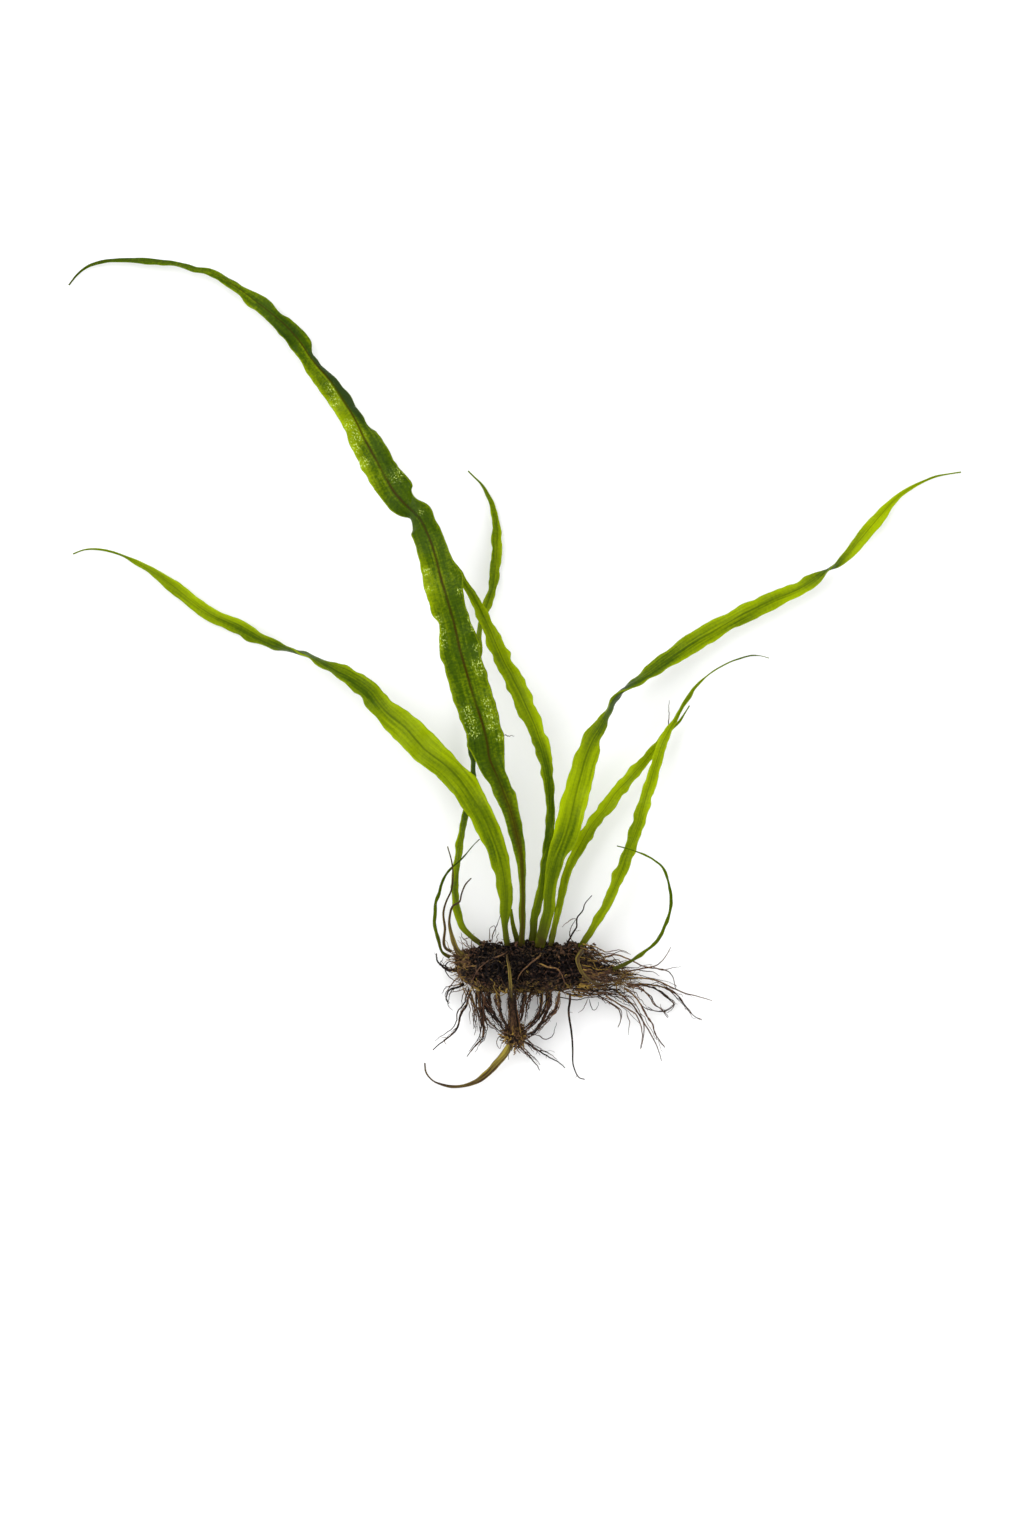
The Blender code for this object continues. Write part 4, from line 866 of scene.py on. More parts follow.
LEAF_CURL_RIGHT = (
    (23.4, 0.2, 11.6, 0.49, 0.49, 0), (25.4, 1, 12.6, 0.49, 0.49, 0), (28.3, 2.5, 13, 0.49, 0.49, 0),
    (30.2, 3.8, 13.4, 0.41, 0.57, -1), (32.1, 5.2, 13.9, 0.41, 0.49, 1), (34.5, 7.3, 14.4, 0.41, 0.49, 12),
    (35.8, 9.2, 14.7, 0.41, 0.49, 4), (36.8, 11.4, 15, 0.49, 0.57, -10), (37.9, 14.4, 15.4, 0.33, 0.41, 12),
    (38.4, 16.7, 15.7, 0.49, 0.49, 5), (38.5, 19.1, 16, 0.41, 0.41, -14), (38, 22.3, 16.2, 0.41, 0.33, 4),
    (37.4, 24.6, 16.2, 0.37, 0.3, 8), (36.4, 26.8, 16.2, 0.33, 0.33, 0), (34, 28.9, 16.2, 0.25, 0.25, 0),
    (31.9, 30.1, 16.1, 0.25, 0.25, 0), (29.7, 31, 16, 0.2, 0.2, 0), (26.6, 32, 16, 0.16, 0.16, 0),
    (24.3, 32.6, 16, 0.16, 0.16, 0),
)
LEAF_OUTER_LEFT = (
    (-19.6, 3, 5.3, 0.49, 0.49, 0), (-21.5, 4.3, 5.7, 0.41, 0.41, 0), (-22.5, 7.4, 6.1, 0.41, 0.41, -1),
    (-23.2, 9.7, 6.5, 0.49, 0.49, 5), (-23.6, 12.1, 6.9, 0.49, 0.49, 11), (-23.6, 14.5, 7.3, 0.33, 0.57, -4),
    (-23.2, 17.6, 7.7, 0.49, 0.41, -3), (-22.5, 19.9, 8, 0.33, 0.49, 10), (-21.9, 22.2, 8.4, 0.33, 0.49, 4),
    (-20.5, 25, 8.9, 0.3, 0.3, -1), (-18.9, 26.9, 9.3, 0.27, 0.27, 0), (-17.1, 28.4, 9.7, 0.22, 0.22, 0),
    (-15.5, 30.1, 9.9, 0.18, 0.18, 0), (-13.4, 32.6, 10, 0.13, 0.13, 0), (-11.7, 34.3, 10, 0.12, 0.12, 0),
)
PLANTLET_LEAF = (
    (-2.6, -17.8, 6.9, 0.8, 0.8, 0), (-3.5, -19.7, 5.8, 0.9, 0.9, 9), (-5, -22.3, 4.8, 1, 1, -10),
    (-6.4, -24.2, 4.2, 0.95, 1.05, 8), (-7.9, -26, 3.7, 0.85, 1.1, 7), (-10.1, -28.2, 3, 0.8, 1, -9),
    (-11.9, -29.6, 2.5, 0.65, 0.8, 9), (-14.1, -30.6, 2, 0.5, 0.6, 4), (-16.4, -31.2, 1.6, 0.42, 0.42, -1),
    (-19.5, -31.3, 1.2, 0.4, 0.4, 0), (-21.8, -30.8, 1, 0.3, 0.3, 0), (-24, -29.9, 0.7, 0.2, 0.2, 0),
    (-26, -27.5, 0.5, 0.2, 0.2, 0), (-26.3, -25.1, 0.5, 0.2, 0.2, 0),
)
LEAF_BUD_LEFT = (
    (-1.7, 6.4, 8.2, 0.7, 0.7, 0), (-2.1, 8.7, 8.9, 0.7, 0.7, 0), (-2.8, 11.1, 9.4, 0.6, 0.6, 0),
    (-3.2, 13.5, 9.9, 0.5, 0.5, 0), (-3.4, 15.9, 10.4, 0.2, 0.3, 0),
)
LEAF_BUD_RIGHT = (
    (6.9, 6.4, 12.8, 0.6, 0.6, 0), (7.5, 8.6, 13.7, 0.6, 0.6, 0), (7.7, 10.9, 14.2, 0.6, 0.6, 0),
    (8.3, 14, 14.8, 0.4, 0.4, 0), (8.8, 16.3, 15.2, 0.2, 0.2, 0),
)
STEM_BROWN_OUTER = (
    (-19.2, 4.6, 8.4, 0.38, 0.38, 0), (-20.5, 5.4, 9, 0.38, 0.38, 0), (-20.8, 11.2, 10.4, 0.38, 0.3, 0),
    (-21.2, 15.1, 11.2, 0.3, 0.3, 20), (-20.5, 17.8, 11.8, 0.3, 0.3, 40),
    (-19.2, 20.7, 12.2, 0.26, 0.26, 20), (-18.7, 24.9, 12.6, 0.22, 0.22, 0),
    (-18.9, 27.8, 12.8, 0.19, 0.19, 0), (-20.1, 32.4, 13, 0.15, 0.15, 0),
)
STEM_BROWN_INNER = (
    (-16.2, 3.6, 8, 0.6, 0.6, 0), (-17.1, 4.5, 8.2, 0.6, 0.7, 0), (-19, 8.5, 8.5, 0.6, 0.6, 20),
    (-19.6, 13.6, 8.4, 0.38, 0.38, 40), (-18.7, 16.7, 8.4, 0.3, 0.3, 20), (-17, 17.8, 8.5, 0.22, 0.22, 0),
    (-16.5, 19.7, 8.7, 0.22, 0.22, 0), (-15.3, 22.5, 8.9, 0.19, 0.19, 0), (-13.9, 24, 9.2, 0.15, 0.15, 0),
)
RHIZOME_BRANCH = (
    (15.2, 5, 12.6, 0.68, 0.68, 0), (14.6, 4.2, 14.4, 0.6, 0.6, 0), (13.9, 2.9, 15.9, 0.52, 0.52, 0),
    (14.4, 1, 16.6, 0.45, 0.45, 0), (15.4, -0.9, 16.4, 0.45, 0.45, 0), (16.8, -2.3, 15.6, 0.38, 0.38, 0),
    (18.5, -3.3, 14.4, 0.34, 0.34, 0), (20.4, -3.7, 12.9, 0.3, 0.3, 0),
)
PLANTLET_STEM = (
    (-4.5, 4, 16.6, 0.29, 0.29, 0), (-4.4, 3, 18.2, 0.32, 0.32, 0), (-4, 1.2, 19.6, 0.36, 0.36, 0),
    (-3.7, -1.8, 19.6, 0.43, 0.43, 0), (-3.5, -4.8, 17.7, 0.5, 0.5, 0), (-3.3, -7.9, 13.9, 0.58, 0.58, 0),
    (-3, -11.2, 10.5, 0.58, 0.58, 0), (-2.6, -15, 8, 0.58, 0.58, 0), (-2.5, -16.6, 7.2, 0.5, 0.5, 0),
)


@dataclass(frozen=True)
class Foliage:
    """All leaves, young leaves and bare stalks."""

    leaves: Sequence[Leaf] = (
        Leaf("leaf_tall_blade", LEAF_TALL, Slot.LEAF_DARK, Blade.TALL, 11, fold=5.0, ruffle=0.42,
            tones=((0, 0.1, 0), (11, 0.16, 0.15), (39, 0.07, -0.1), (50, 0.1, -0.1), (68, 0, -0.05),
            (96, 0.12, 0.2), (124, -0.06, -0.05), (138, 0.06, 0.15), (152, 0.25, 0.3), (168, 0.11, 0.3),
            (180, -0.08, -0.1), (200, 0.14, 0), (225, -0.08, 0)), bends=((146, 0, 0), (152, 2, -35),
            (157, 4, -62), (171, 4, -60), (176, 2, -35), (181, 0, 0)), highlight_spots=((-51.2, 153.3, 1.3),
            (-50, 150.5, 1.2), (-44.9, 136.9, 1.6), (-43.6, 140.2, 1.7), (-46.2, 143.2, 1.5),
            (-42.3, 133.2, 1.5), (-49.9, 148.9, 1.1), (-33.4, 129.5, 1.6), (-32.1, 131.8, 1.1),
            (-27.1, 119.9, 0.8), (-25.4, 104.2, 1.1), (-24.9, 99.6, 0.9), (-22.8, 91.3, 1.2),
            (-22, 88, 1.5), (-21.4, 85.3, 1.2), (-17, 99, 0.8), (-13.9, 92, 0.9), (-13.3, 89.4, 0.9),
            (-12.3, 84.4, 1), (-12.2, 80.2, 1.5), (-11.5, 78, 1), (-15, 68.2, 1.3), (-14, 65.2, 1.4),
            (-13, 62, 1.4), (-9.9, 70.2, 1.2), (-8.8, 66.9, 1.6), (-8.4, 64, 1.3), (-6.4, 60.9, 0.9)),
            highlight_share=0.15),
        Leaf("leaf_left_blade", LEAF_LEFT, Slot.LEAF_BRIGHT, Blade.BRIGHT, 22, fold=6.0, ruffle=0.32,
            tones=((8, 0.26, 0.2), (27, 0.46, -0.15), (47, 0.57, -0.15), (66, 0.8, -0.12), (83, 0.32, -0.2),
            (103, 0.25, 0), (111, 0.1, 0), (118, 0.3, 0.15), (127, 0.5, 0.15), (140, 0.68, 0.2),
            (150, 0.5, 0.2), (165, 0.4, 0.1)), highlight_share=0.06),
        Leaf("leaf_back_blade", LEAF_BACK, Slot.LEAF_DARK, Blade.DARK, 33, fold=18.0, ruffle=0.35,
            tones=((6, 0.82, 0), (16, 0.42, 0), (27, 0.46, 0), (39, 0.12, -0.15), (50, 0, 0.05),
            (68, 0.05, 0), (81, 0.3, 0.05), (95, 0.36, -0.1), (110, 0.58, -0.3), (125, 0.3, -0.1)),
            crinkle=0.14, ruffle_lengths=(9, 5.9, 4.1, 2.7), half_columns=9, rib_height=0.1),
        Leaf("leaf_middle_blade", LEAF_MIDDLE, Slot.LEAF_BRIGHT, Blade.BRIGHT, 44, fold=12.0, ruffle=0.35,
            tones=((4, 0.03, 0.05), (14, 0.26, 0.1), (30, 0.26, -0.2), (42, 0.16, 0), (54, 0.47, -0.35),
            (67, 0.74, -0.3), (79, 0.58, -0.1), (94, 0.52, -0.1), (105, 0.34, -0.1)), crinkle=0.14,
            ruffle_lengths=(10, 6.9, 4.6, 3.1), highlight_share=0.06),
        Leaf("leaf_right_blade", LEAF_RIGHT, Slot.LEAF_BRIGHT, Blade.BRIGHT, 55, fold=7.0, ruffle=0.32,
            tones=((8, 0.2, -0.2), (22, 0.2, 0.1), (30, 0.52, 0.15), (40, 0.88, 0.1), (54, 0.5, 0.05),
            (62, 0.4, 0.1), (71, 0.12, 0), (84, 0.17, 0), (99, 0.6, 0), (111, 0.62, -0.3), (128, 0.68, 0.1),
            (133, 0.45, 0.1), (138, 0.1, 0), (144, 0.7, -0.3), (154, 1, -0.2), (173, 0.5, 0)),
            highlight_share=0.06),
        Leaf("leaf_right_narrow_blade", LEAF_RIGHT_NARROW, Slot.LEAF_BRIGHT, Blade.BRIGHT, 66, fold=14.0,
            tones=((3, 0.6, 0), (9, 0.78, 0), (15, 0.66, 0.2), (26, 0.74, 0.3), (37, 0.9, 0.35),
            (49, 0.9, 0.3), (61, 0.75, -0.1), (72, 0.5, 0)), crinkle=0.14, ruffle=0.45,
            ruffle_lengths=(8, 5.3, 3.9, 2.6), half_columns=9),
        Leaf("leaf_right_slim_blade", LEAF_RIGHT_SLIM, Slot.LEAF_BRIGHT, Blade.BRIGHT, 77, fold=12.0,
            tones=((2, 1, 0), (12, 0.95, 0), (21, 0.7, 0), (29, 0.5, -0.05), (38, 0.52, -0.25),
            (49, 0.75, -0.05), (57, 0.85, 0.15), (72, 0.6, 0), (95, 0.35, 0)), crinkle=0.14, ruffle=0.45,
            ruffle_lengths=(9, 5.3, 3.9, 2.6), half_columns=9),
        Leaf("leaf_curl_right_blade", LEAF_CURL_RIGHT, Slot.LEAF_DARK, Blade.DARK, 88, fold=15.0,
            tones=((0, -0.1, 0), (9, 0.15, 0), (31, 0.1, 0), (48, 0.2, 0)), wobble=0.25, crinkle=0.3,
            ruffle=0.9, ruffle_lengths=(4.4, 3.1, 2.2, 1.6), step=0.22, half_columns=6),
        Leaf("leaf_outer_left_blade", LEAF_OUTER_LEFT, Slot.LEAF_DARK, Blade.DARK, 99, fold=15.0,
            tones=((0, 0, 0), (8, 0.12, 0), (19, 0, 0), (24, -0.6, 0)), wobble=0.2, crinkle=0.25,
            ruffle=0.6, ruffle_lengths=(4.4, 3.1, 2.2, 1.6), step=0.22, half_columns=6),
        Leaf("leaf_bud_left_blade", LEAF_BUD_LEFT, Slot.LEAF_BRIGHT, Blade.BRIGHT, 17, tones=((0, -0.2, 0),
            (4, 0.4, 0), (10, 0.8, 0)), step=0.25, half_columns=5),
        Leaf("leaf_bud_right_blade", LEAF_BUD_RIGHT, Slot.LEAF_BRIGHT, Blade.BRIGHT, 18, tones=((0, 0.3, 0),
            (10, 0.8, 0)), step=0.25, half_columns=5),
        Leaf("stem_brown_outer_stalk", STEM_BROWN_OUTER, Slot.LEAF_OLD, Blade.OLD, 28, tones=((0, 0.1, 0),
            (8, 0, 0), (14, -0.1, 0)), wobble=0.3, step=0.25, half_columns=5, nodes=("stem_brown_outer",)),
        Leaf("stem_brown_inner_stalk", STEM_BROWN_INNER, Slot.LEAF_OLD, Blade.OLD, 29, tones=((0, 0.4, 0),
            (5, 0.35, 0), (9, 0.1, 0), (13, -0.1, 0)), wobble=0.3, step=0.25, half_columns=5,
            nodes=("stem_brown_inner",)),
        Leaf("rhizome_branch_shoot", RHIZOME_BRANCH, Slot.LEAF_BRIGHT, Blade.OLD, 38, tones=((0, 0.2, 0),
            (14, 0.05, 0)), step=0.2, half_columns=6, nodes=("rhizome_branch",)),
        Leaf("plantlet_stem_stalk", PLANTLET_STEM, Slot.LEAF_OLD, Blade.OLD, 39, tones=((0, 0.1, 0),
            (5, 0.35, 0), (14, 0.45, 0), (24, 0.1, 0)), step=0.2, half_columns=6, nodes=("plantlet_stem",)),
        Leaf("plantlet_leaf_blade", PLANTLET_LEAF, Slot.LEAF_OLD, Blade.OLD, 48, fold=12.0,
            tones=((0, 0.7, -0.2), (6, 0.64, -0.2), (13, 0.34, -0.2), (22, 0.1, 0), (30, -0.1, 0)),
            wobble=0.06, ruffle=0.2, ruffle_lengths=(7, 4.3, 3.1, 2), step=0.25, half_columns=8),
    )

    def build(self) -> None:
        """Make every leaf in its finish."""
        finishes = {blade: blade.value.build() for blade in Blade}
        for leaf in self.leaves:
            leaf.build(finishes[leaf.blade])


# Roots


@dataclass(frozen=True)
class Threads:
    """A piece of many thin round threads.

    Each thread is a path with a radius that tapers to its tip, and a tone for its colour. The tip is the
    share of the radius that is left there, and the fade is the share of the tone that is lost on the way. A
    start below 1 makes the first part of every thread thinner towards its very end.
    """

    name: str
    slot: Slot
    sides: int = 4
    tip: float = 0.3
    fade: float = 0.0
    start: float = 1.0
    start_part: float = 0.25
    clearance: float = 0.02
    nodes: Sequence[str] = ()

    def build(self, paths: Array, radius: Array, tone: Array, material: Material) -> None:
        """Carry a round section along every path, and make the piece.

        The radius falls from its own value at the start, first slowly and then faster, to the tip's share.

        Args:
            paths: threads by points by three.
            radius: one starting radius for each thread.
            tone: one tone for each thread.
            material: the finish.
        """
        count, steps = paths.shape[:2]
        _, side, up = travel(paths)
        grown = np.linspace(0.0, 1.0, steps)
        angle = 2 * np.pi * np.arange(self.sides) / self.sides
        swell = self.start + (1.0 - self.start) * np.clip(grown / self.start_part, 0.0, 1.0)
        size = (radius[:, None] * swell * (1.0 - (1.0 - self.tip) * grown**1.5))[:, :, None, None]
        ring = side[:, :, None] * np.cos(angle)[:, None] + up[:, :, None] * np.sin(angle)[:, None]
        points = paths[:, :, None] + size * ring
        points[..., 2] = np.maximum(points[..., 2], self.clearance)
        tones = np.broadcast_to((tone[:, None] * (1.0 - self.fade * grown))[:, :, None], points.shape[:-1])
        faces = ring_faces(count, steps, self.sides)
        make_piece(self.name, points, faces, material, self.nodes, {"tone": tones})


def even_paths(tables: Sequence[Sequence[Row]], steps: int, walk: float = 0.3) -> Array:
    """Paths through rows of points, each at the same number of even steps.

    Args:
        tables: the rows of each path.
        steps: the points of each path.
        walk: how finely the rows are followed, in millimetres.

    Returns:
        Paths by points by three.
    """
    paths = []
    for rows in tables:
        line, distance = follow(rows, walk)
        paths.append(smooth(distance, line[:, :3], np.linspace(0.0, distance[-1], steps)))
    return np.stack(paths)


def trimmed(paths: Array, share: Array, steps: int) -> Array:
    """The first part of every path, at even steps.

    Args:
        paths: paths by points by three.
        share: the share of each path that is kept.
        steps: the points of each new path.

    Returns:
        The new paths.
    """
    at = share[:, None] * np.linspace(0.0, 1.0, steps) * (paths.shape[1] - 1)
    low = np.minimum(at.astype(int), paths.shape[1] - 2)
    rest = (at - low)[..., None]
    index = np.arange(len(paths))[:, None]
    return paths[index, low] * (1 - rest) + paths[index, low + 1] * rest


def kinked(paths: Array, amount: float, seed: int) -> Array:
    """The same paths with small irregular kinks that start from nothing at the felt.

    The kinks are sines of several lengths, each with a phase and a random size of its own in every direction.

    Args:
        paths: paths by points by three.
        amount: how large the kinks are, in millimetres.
        seed: for the random draws.

    Returns:
        The new paths.
    """
    draw = np.random.default_rng(seed)
    steps = np.linspace(0.0, 1.0, paths.shape[1])
    offset = np.zeros_like(paths)
    for cycles in (2.0, 3.7, 6.1, 9.3):
        phase = draw.uniform(0.0, 2 * np.pi, (paths.shape[0], 1, 3))
        size = draw.normal(0.0, amount / cycles**0.7, (paths.shape[0], 1, 3))
        offset += size * np.sin(2 * np.pi * cycles * steps[None, :, None] + phase)
    return paths + offset * np.minimum(1.0, 5 * steps)[None, :, None]


def hair_paths(origin: Array, heading: Array, length: Array, curl: float, seed: int, steps: int,
               clearance: float = 0.25) -> Array:
    """Free hairs: each starts along its heading, which waves of its own turn, and adds up its steps.

    Args:
        origin: where each hair starts.
        heading: the direction in which it starts.
        length: how long it is.
        curl: how strongly the waves turn it.
        seed: for the random draws.
        steps: the points of each hair.
        clearance: how high above the surface it stays, in millimetres.

    Returns:
        Hairs by points by three.
    """
    draw = np.random.default_rng(seed)
    t = np.linspace(0.0, 1.0, steps)
    course = np.repeat(unit(heading)[:, None], steps, axis=1)
    for cycles in (0.6, 1.4, 2.9):
        phase = draw.uniform(0.0, 2 * np.pi, (len(origin), 1, 3))
        size = draw.normal(0.0, curl, (len(origin), 1, 3))
        course = course + size * (np.sin(2 * np.pi * cycles * t[None, :, None] + phase) - np.sin(phase))
    stride = (length / (steps - 1))[:, None, None]
    way = np.cumsum(unit(course) * stride, axis=1)
    paths = origin[:, None] + way - way[:, :1]
    paths[..., 2] = np.maximum(paths[..., 2], clearance)
    return paths


def lumps(centre: Array, radius: Array, seed: int, rings: int = 6, points: int = 6) -> Array:
    """Small uneven balls: a ball's radius swells and shrinks over it by sines of its own phases.

    Args:
        centre: the middle of each ball.
        radius: the radius of each.
        seed: the seed of the phases.
        rings: the rings of a ball.
        points: the points of a ring.

    Returns:
        Balls by rings by points by three.
    """
    draw = np.random.default_rng(seed)
    polar, angle = np.meshgrid(np.linspace(0.15, np.pi - 0.15, rings),
                               2 * np.pi * np.arange(points) / points, indexing="ij")
    phase = draw.uniform(0.0, 2 * np.pi, (len(centre), 2, 1, 1))
    swell = 1.0 + 0.3 * np.sin(2 * angle + phase[:, 0]) * np.sin(2 * polar + phase[:, 1])
    ball = np.stack((-np.cos(polar), np.sin(polar) * np.cos(angle), np.sin(polar) * np.sin(angle)), axis=-1)
    return centre[:, None, None] + (radius[:, None, None] * swell)[..., None] * ball


@dataclass(frozen=True)
class Strands:
    """One sort of threads that wander over the felt.

    The curl is how strongly a thread's heading turns, the rise how far it stands above the felt in the middle
    of its way, and thin the share of the threads that is left out at the right end. A thread's tone is the
    felt's own times a random gain, plus a random amount of the given mean and spread. Radii lie between two
    limits, and a higher power makes more of them small.
    """

    threads: Threads
    seed: int
    count: int
    steps: int
    length: Span
    curl: float
    rise: Span
    thin: float
    gain: Span
    extra: Span
    radius: Span
    radius_power: float = 1.0


@dataclass(frozen=True)
class Felt:
    """The rhizome and the felt of fine roots that hides it.

    A section is x, front, back, underside and top in millimetres. Each span in x or y says where a change
    starts and where it is complete: the core thins, threads get fewer and are combed, and the tone turns
    brown at the right, at the left and in front.
    """

    sections: Sequence[Row] = (
        (-17.5, 0.2, 3.2, 3.5, 7.5), (-15.5, -3.2, 4.6, 1, 10.5), (-12, -5, 5.6, 0.4, 14),
        (-8, -5.4, 6.2, 0.2, 16.2), (-3, -5.6, 6.4, 0.1, 17.2), (2, -5.8, 6.4, 0.1, 17.2),
        (7, -5.6, 6.2, 0.1, 16.6), (12, -5.2, 6, 0.1, 15.6), (17, -4.8, 5.2, 0.3, 13.6),
        (21, -4.6, 4.2, 1, 11.6), (24.5, -4.4, 2.6, 2, 9.6), (27, -3.8, 1, 3.4, 7.8),
    )
    clearance: float = 0.05
    core_rings: int = 150
    core_points: int = 80
    core_tone: float = 0.12
    core_bumps: float = 0.22
    core_sink: float = 0.7
    right_sink: float = 2.6
    core_thins: Span = (9.0, 23.0)
    threads_thin: Span = (10.0, 22.0)
    combed: Span = (10.0, 21.0)
    mean_radius: float = 7.0
    depth: float = 0.5
    right_depth: float = 2.2
    brown_right: Span = (11.0, 23.0)
    brown_left: Span = (-11.0, -16.0)
    brown_front: Span = (-2.6, -4.8)
    mat: Strands = Strands(
        Threads("felt_mat", Slot.ROOT_DARK, tip=0.5), 5, 2500, 9, length=(1.8, 6.0), curl=1.9,
        rise=(0.0, 1.1), thin=0.94, gain=(0.1, 1.7), extra=(0.02, 0.20), radius=(0.06, 0.17))
    roots: Strands = Strands(
        Threads("felt_roots", Slot.ROOT_DARK, sides=6, tip=0.4), 8, 130, 26, length=(7.0, 15.0), curl=1.3,
        rise=(0.5, 1.4), thin=0.75, gain=(0.2, 2.2), extra=(0.05, 0.15), radius=(0.10, 0.36),
        radius_power=1.6)

    def point(self, x: Array, angle: Array, lift: Array) -> Array:
        """A point on or above the felt.

        Across the rhizome the felt is an oval between its front, back, underside and top. Lumps of several
        sizes, made of sines of the position, are added to its radius.

        Args:
            x: where along the rhizome, in millimetres.
            angle: round the oval, from the back over the top.
            lift: height above the felt in millimetres.

        Returns:
            The points.
        """
        front, back, low, high = np.moveaxis(straight(self.sections, x), -1, 0)
        lump = (0.45 * np.sin(x / 1.9 + 2.0 * np.sin(2 * angle)) + 0.35 * np.sin(x / 0.9 + 3 * angle)
                + 0.25 * np.sin(7 * angle + x / 1.3)) * np.minimum(1.0, (back - front) / 8.0)
        y = (front + back) / 2 + ((back - front) / 2 + lump + lift) * np.cos(angle)
        z = (low + high) / 2 + ((high - low) / 2 + lump + lift) * np.sin(angle)
        return np.stack((x, y, np.maximum(z, self.clearance)), axis=-1)

    def core(self, material: Material) -> None:
        """Make the dark lumpy mass under the strands.

        It is a grid along the rhizome and round it, below the felt's own height by a sink that grows at the
        right, with small bumps made of sines.

        Args:
            material: its finish.
        """
        x, angle = np.meshgrid(np.linspace(self.sections[0][0], self.sections[-1][0] - 1.5, self.core_rings),
                               2 * np.pi * np.arange(self.core_points) / self.core_points, indexing="ij")
        bumps = np.sin(9 * x + 5 * np.sin(11 * angle)) * np.sin(17 * angle + 3 * np.sin(4 * x))
        sink = self.core_sink + self.right_sink * eased(x, *self.core_thins)
        points = self.point(x, angle, self.core_bumps * bumps - sink)
        faces = ring_faces(1, self.core_rings, self.core_points)
        make_piece("rhizome_core", points, faces, material, ("rhizome",),
                   {"tone": np.full(x.shape, self.core_tone)})

    def walk(self, sort: Strands) -> Array:
        """Threads that wander over the felt.

        A thread's heading turns by waves of its own along the way, and is drawn towards the right where the
        felt is combed. Its place along the rhizome and round it adds up its steps, and it rises out of the
        felt in the middle of its way. At the right the threads are fewer, and lie at every depth.

        Args:
            sort: what the threads are like.

        Returns:
            The paths.
        """
        draw = np.random.default_rng(sort.seed)
        t = np.linspace(0.0, 1.0, sort.steps)
        start = draw.uniform(self.sections[0][0], self.sections[-1][0] - 1.0, sort.count)
        start = start[draw.uniform(0.0, 1.0, sort.count) > sort.thin * eased(start, *self.threads_thin)]
        count = len(start)
        right = eased(start, *self.combed)
        around = draw.uniform(0.0, 2 * np.pi, count)
        heading = (draw.uniform(-np.pi, np.pi, count) * (1.0 - 0.92 * right))[:, None]
        for cycles in (1.0, 2.3, 4.1):
            swing = draw.normal(0.0, sort.curl / cycles**0.7, (count, 1)) * (1.0 - 0.7 * right[:, None])
            phase = draw.uniform(0.0, 2 * np.pi, (count, 1))
            heading = heading + swing * np.sin(2 * np.pi * cycles * t + phase)
        stride = (draw.uniform(*sort.length, count) / sort.steps)[:, None]
        x = start[:, None] + np.cumsum(stride * np.cos(heading), axis=1)
        x = np.clip(x, self.sections[0][0] - 0.6, self.sections[-1][0] + 2.5)
        angle = around[:, None] + np.cumsum(stride * np.sin(heading), axis=1) / self.mean_radius
        depth = self.depth + (draw.uniform(0.0, self.right_depth, count) * right)[:, None]
        lift = draw.uniform(*sort.rise, (count, 1)) * np.sin(np.pi * t) ** 0.6 - depth
        return self.point(x, angle, lift + 0.12 * np.sin(2 * np.pi * 5 * t + heading))

    def tone(self, paths: Array) -> Array:
        """The felt's own tone: black in the middle, browner in front, at the left and at the right.

        Args:
            paths: threads by points by three.

        Returns:
            The tone at the middle of each thread.
        """
        x, y, _ = paths[:, paths.shape[1] // 2].T
        right, left = eased(x, *self.brown_right), eased(x, *self.brown_left)
        front = eased(y, *self.brown_front)
        return 0.10 + 0.40 * right + 0.30 * left + 0.40 * front * (1.0 - right)

    def build(self, core: Material, strands: Material) -> None:
        """Make the core, the mat of short strands and the longer roots over it.

        Args:
            core: the finish of the core.
            strands: the finish of the strands.
        """
        self.core(core)
        draw = np.random.default_rng(6)
        for sort in (self.mat, self.roots):
            paths = self.walk(sort)
            count, (least, most) = len(paths), sort.radius
            tone = self.tone(paths) * draw.uniform(*sort.gain, count) + draw.normal(*sort.extra, count)
            radius = least + (most - least) * draw.uniform(0.0, 1.0, count) ** sort.radius_power
            sort.threads.build(paths, radius, tone, strands)


@dataclass(frozen=True)
class Tuft:
    """Free hairs that grow out of one region of the felt."""

    count: int
    x: Span
    angle: Span
    heading: Triple
    spread: float
    length: Span
    radius: Span
    curl: float = 0.35


@dataclass(frozen=True)
class Crumbs:
    """Small lumps that cling to one region of the felt."""

    count: int
    x: Span
    angle: Span
    radius: Span
    tone: float
    rise: float = 0.8


